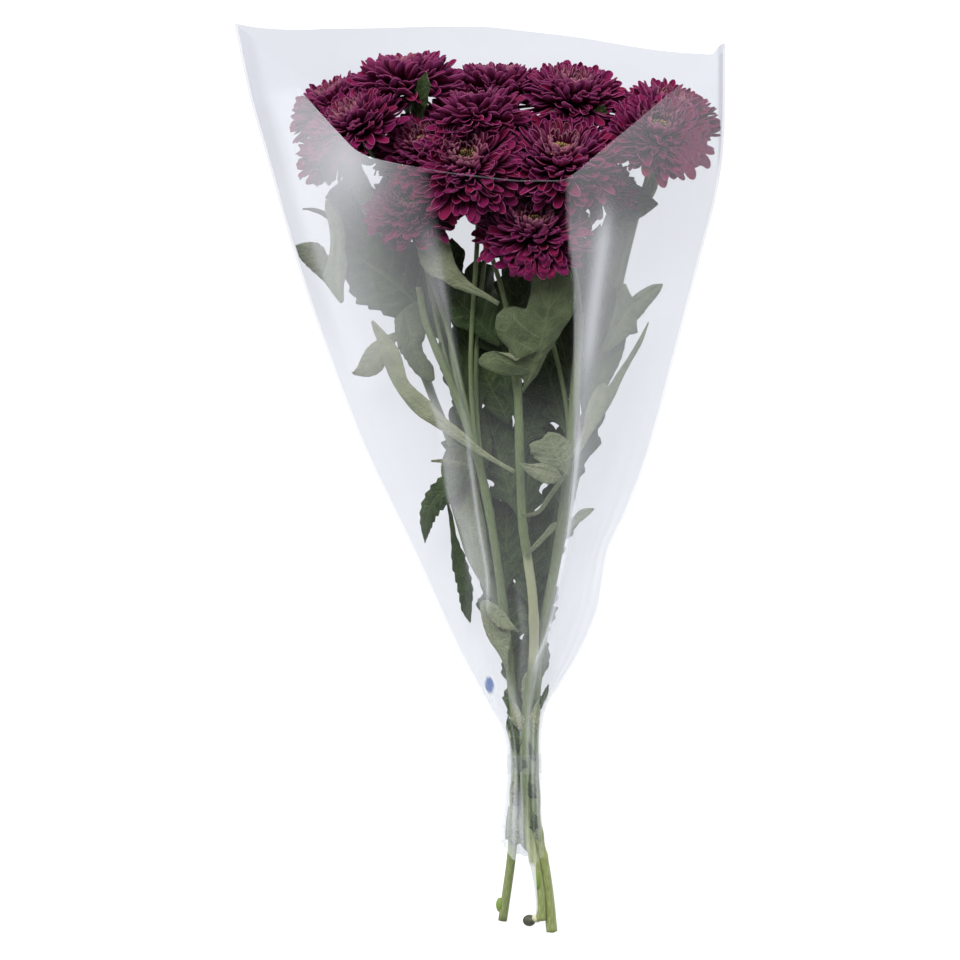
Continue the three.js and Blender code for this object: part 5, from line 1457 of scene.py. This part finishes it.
def add_nub(build, nub, draws):
    """A swelling or stub on a stem: a lumpy ball."""
    _, middle, halves, look = nub
    lifts = np.linspace(-0.49, 0.49, 11) * np.pi
    turns = turns_round(14)
    lumps = 1 + 0.13 * np.sin(turns * 3 + draws.random() * 6) + 0.08 * np.sin(turns * 5 + 1)
    ball = np.array([[(math.cos(a) * math.cos(t) * l, math.sin(a), math.cos(a) * math.sin(t) * l)
                      for t, l in zip(turns, lumps)] for a in lifts])
    points = ball.reshape(-1, 3) * halves + middle
    build.add(points, grid_quads(11, 14, wrap=True), flat_y=points[:, 1], across=np.tile(turns, 11),
              old=1.0, **{look: 0.85})


def make_stem(index):
    """One stem with the branches, leaves and swellings that it carries."""
    radius, rows = STEMS[index]
    draws = np.random.default_rng(STEM_SEED + index)
    stem = Path(rows)
    build = Build("along", "across", "tone", "upper", "flat_x", "flat_y", "old", "pith", "scar",
                  "fresh")
    line = stem.line(STEM_ROWS)
    y = line[:, 1]
    share = np.linspace(0, 1, STEM_ROWS)
    leaves = [leaf for leaf in LEAVES if leaf[0] == index]
    radii = radius * (1 - 0.35 * np.maximum(0, share - 0.4))
    for leaf in leaves:
        if not isinstance(leaf[1], list):
            place = stem.at_height(leaf[1])[1]
            radii = radii * (1 + 0.14 * np.exp(-(((share - place) / 0.012) ** 2)))
    old = smooth(-200, -240, y) * (0.5 if index == 1 else 1)
    pith = np.r_[1, 0.55, np.zeros(STEM_ROWS + 2)]
    if index == 2:
        pith = np.maximum(pith, 0.4 * with_ends(smooth(-122, -108, y) * smooth(-44, -52, y)))
    add_tube(build, line, radii, 16, draws, swell=lambda turns: 1 + 0.045 * np.cos(7 * turns),
             old=with_ends(old), pith=pith)
    for head in HEADS:
        if head[1] == index:
            add_branch(build, stem, head, draws)
    for leaf in leaves:
        add_leaf(build, stem, leaf, draws)
    for leaf in FRONT_LEAVES:
        if leaf[0] == index:
            add_front_leaf(build, leaf, draws)
    for nub in NUBS:
        if nub[0] == index:
            add_nub(build, nub, draws)
    build.piece(f"stem_{index + 1}_spray", [STALK, LEAF], "foliage", f"stem_{index + 1}")


make_sleeve()
make_tape()
for number in range(len(STEMS)):
    make_stem(number)
for number, (name, _, _, at, lean, turn, size) in enumerate(HEADS):
    make_bloom(number, name, at, lean, turn, size)
    make_disc(number, name, at, lean, turn, size)

# ------------------------------------------------------------------ floor, light and camera


def make_floor():
    """A pale table with a light under it, so that hardly a shadow shows."""
    half = 4.0
    corners = [(-half, -half, 0), (half, -half, 0), (half, half, 0), (-half, half, 0)]
    mesh = bpy.data.meshes.new("floor")
    mesh.from_pydata(corners, [], [(0, 1, 2, 3)])
    floor = bpy.data.objects.new("floor", mesh)
    bpy.context.scene.collection.objects.link(floor)
    n = Nodes("floor_paint")
    place = n.make("ShaderNodeTexCoord").outputs["Object"]
    colour = n.mix(n.noise(place, 3.0, 3.0), (0.18, 0.182, 0.184), (0.22, 0.222, 0.224))
    paint = n.make("ShaderNodeBsdfDiffuse", {"Color": colour}).outputs[0]
    glow = n.make("ShaderNodeEmission", {"Color": (1, 1, 1), "Strength": 0.95}).outputs[0]
    material = n.show(n.make("ShaderNodeAddShader", {0: paint, 1: glow}).outputs[0])
    material.cycles.emission_sampling = "NONE"
    mesh.materials.append(material)


def make_sky():
    """Soft light all round, stronger from the flowers' end, and a dark ceiling over the camera."""
    world = bpy.data.worlds.new("soft_room")
    bpy.context.scene.world = world
    world.use_nodes = True
    n = Nodes("sky", world.node_tree)
    direction = n.make("ShaderNodeTexCoord").outputs["Generated"]
    parts = n.make("ShaderNodeSeparateXYZ", {0: direction}).outputs
    dark = n.times(parts["Y"], -0.35, n.times(parts["Z"], 0.937))
    wall = n.between(dark, 0.86, 0.68)
    sides = n.times(n.math("POWER", n.math("ABSOLUTE", parts["X"]), 2.0), 0.5, 0.4)
    sides = n.times(n.between(parts["Y"], -0.3, 0.8), 0.8, sides)
    strength = n.times(wall, sides, 0.03)
    back = n.make("ShaderNodeBackground", {"Color": (0.96, 0.98, 1.0), "Strength": strength})
    output = n.make("ShaderNodeOutputWorld")
    n.tree.links.new(back.outputs[0], output.inputs[0])


def make_sun(name, towards, angle, strength, colour):
    """A soft sun; angle in degrees."""
    light = bpy.data.lights.new(name, "SUN")
    light.angle = math.radians(angle)
    light.energy = strength
    light.color = colour
    lamp = bpy.data.objects.new(name, light)
    bpy.context.scene.collection.objects.link(lamp)
    lamp.rotation_mode = "QUATERNION"
    lamp.rotation_quaternion = Vector(towards).to_track_quat("Z", "Y")


CAMERA_HEIGHT = 2.155            # the photograph's distance
PIXEL, LEAF_HEIGHT = 0.62, 55    # mm of the object in one pixel, at the height of the leaves
PICTURE = 960                    # pixels across
SENSOR = 36                      # mm


def make_camera():
    """The photograph's camera, straight above the origin."""
    data = bpy.data.cameras.new("camera")
    data.sensor_width = SENSOR
    data.lens = SENSOR * (CAMERA_HEIGHT / MM - LEAF_HEIGHT) / (PICTURE * PIXEL)
    camera = bpy.data.objects.new("camera", data)
    bpy.context.scene.collection.objects.link(camera)
    camera.location = (0, 0, CAMERA_HEIGHT)
    bpy.context.scene.camera = camera


make_floor()
make_sky()
make_sun("key", (-0.25, 0.6, 0.8), 34, 2.5, (1, 0.99, 0.97))
make_camera()
bpy.context.scene.view_settings.view_transform = "Standard"
bpy.context.scene.cycles.transparent_max_bounces = 24
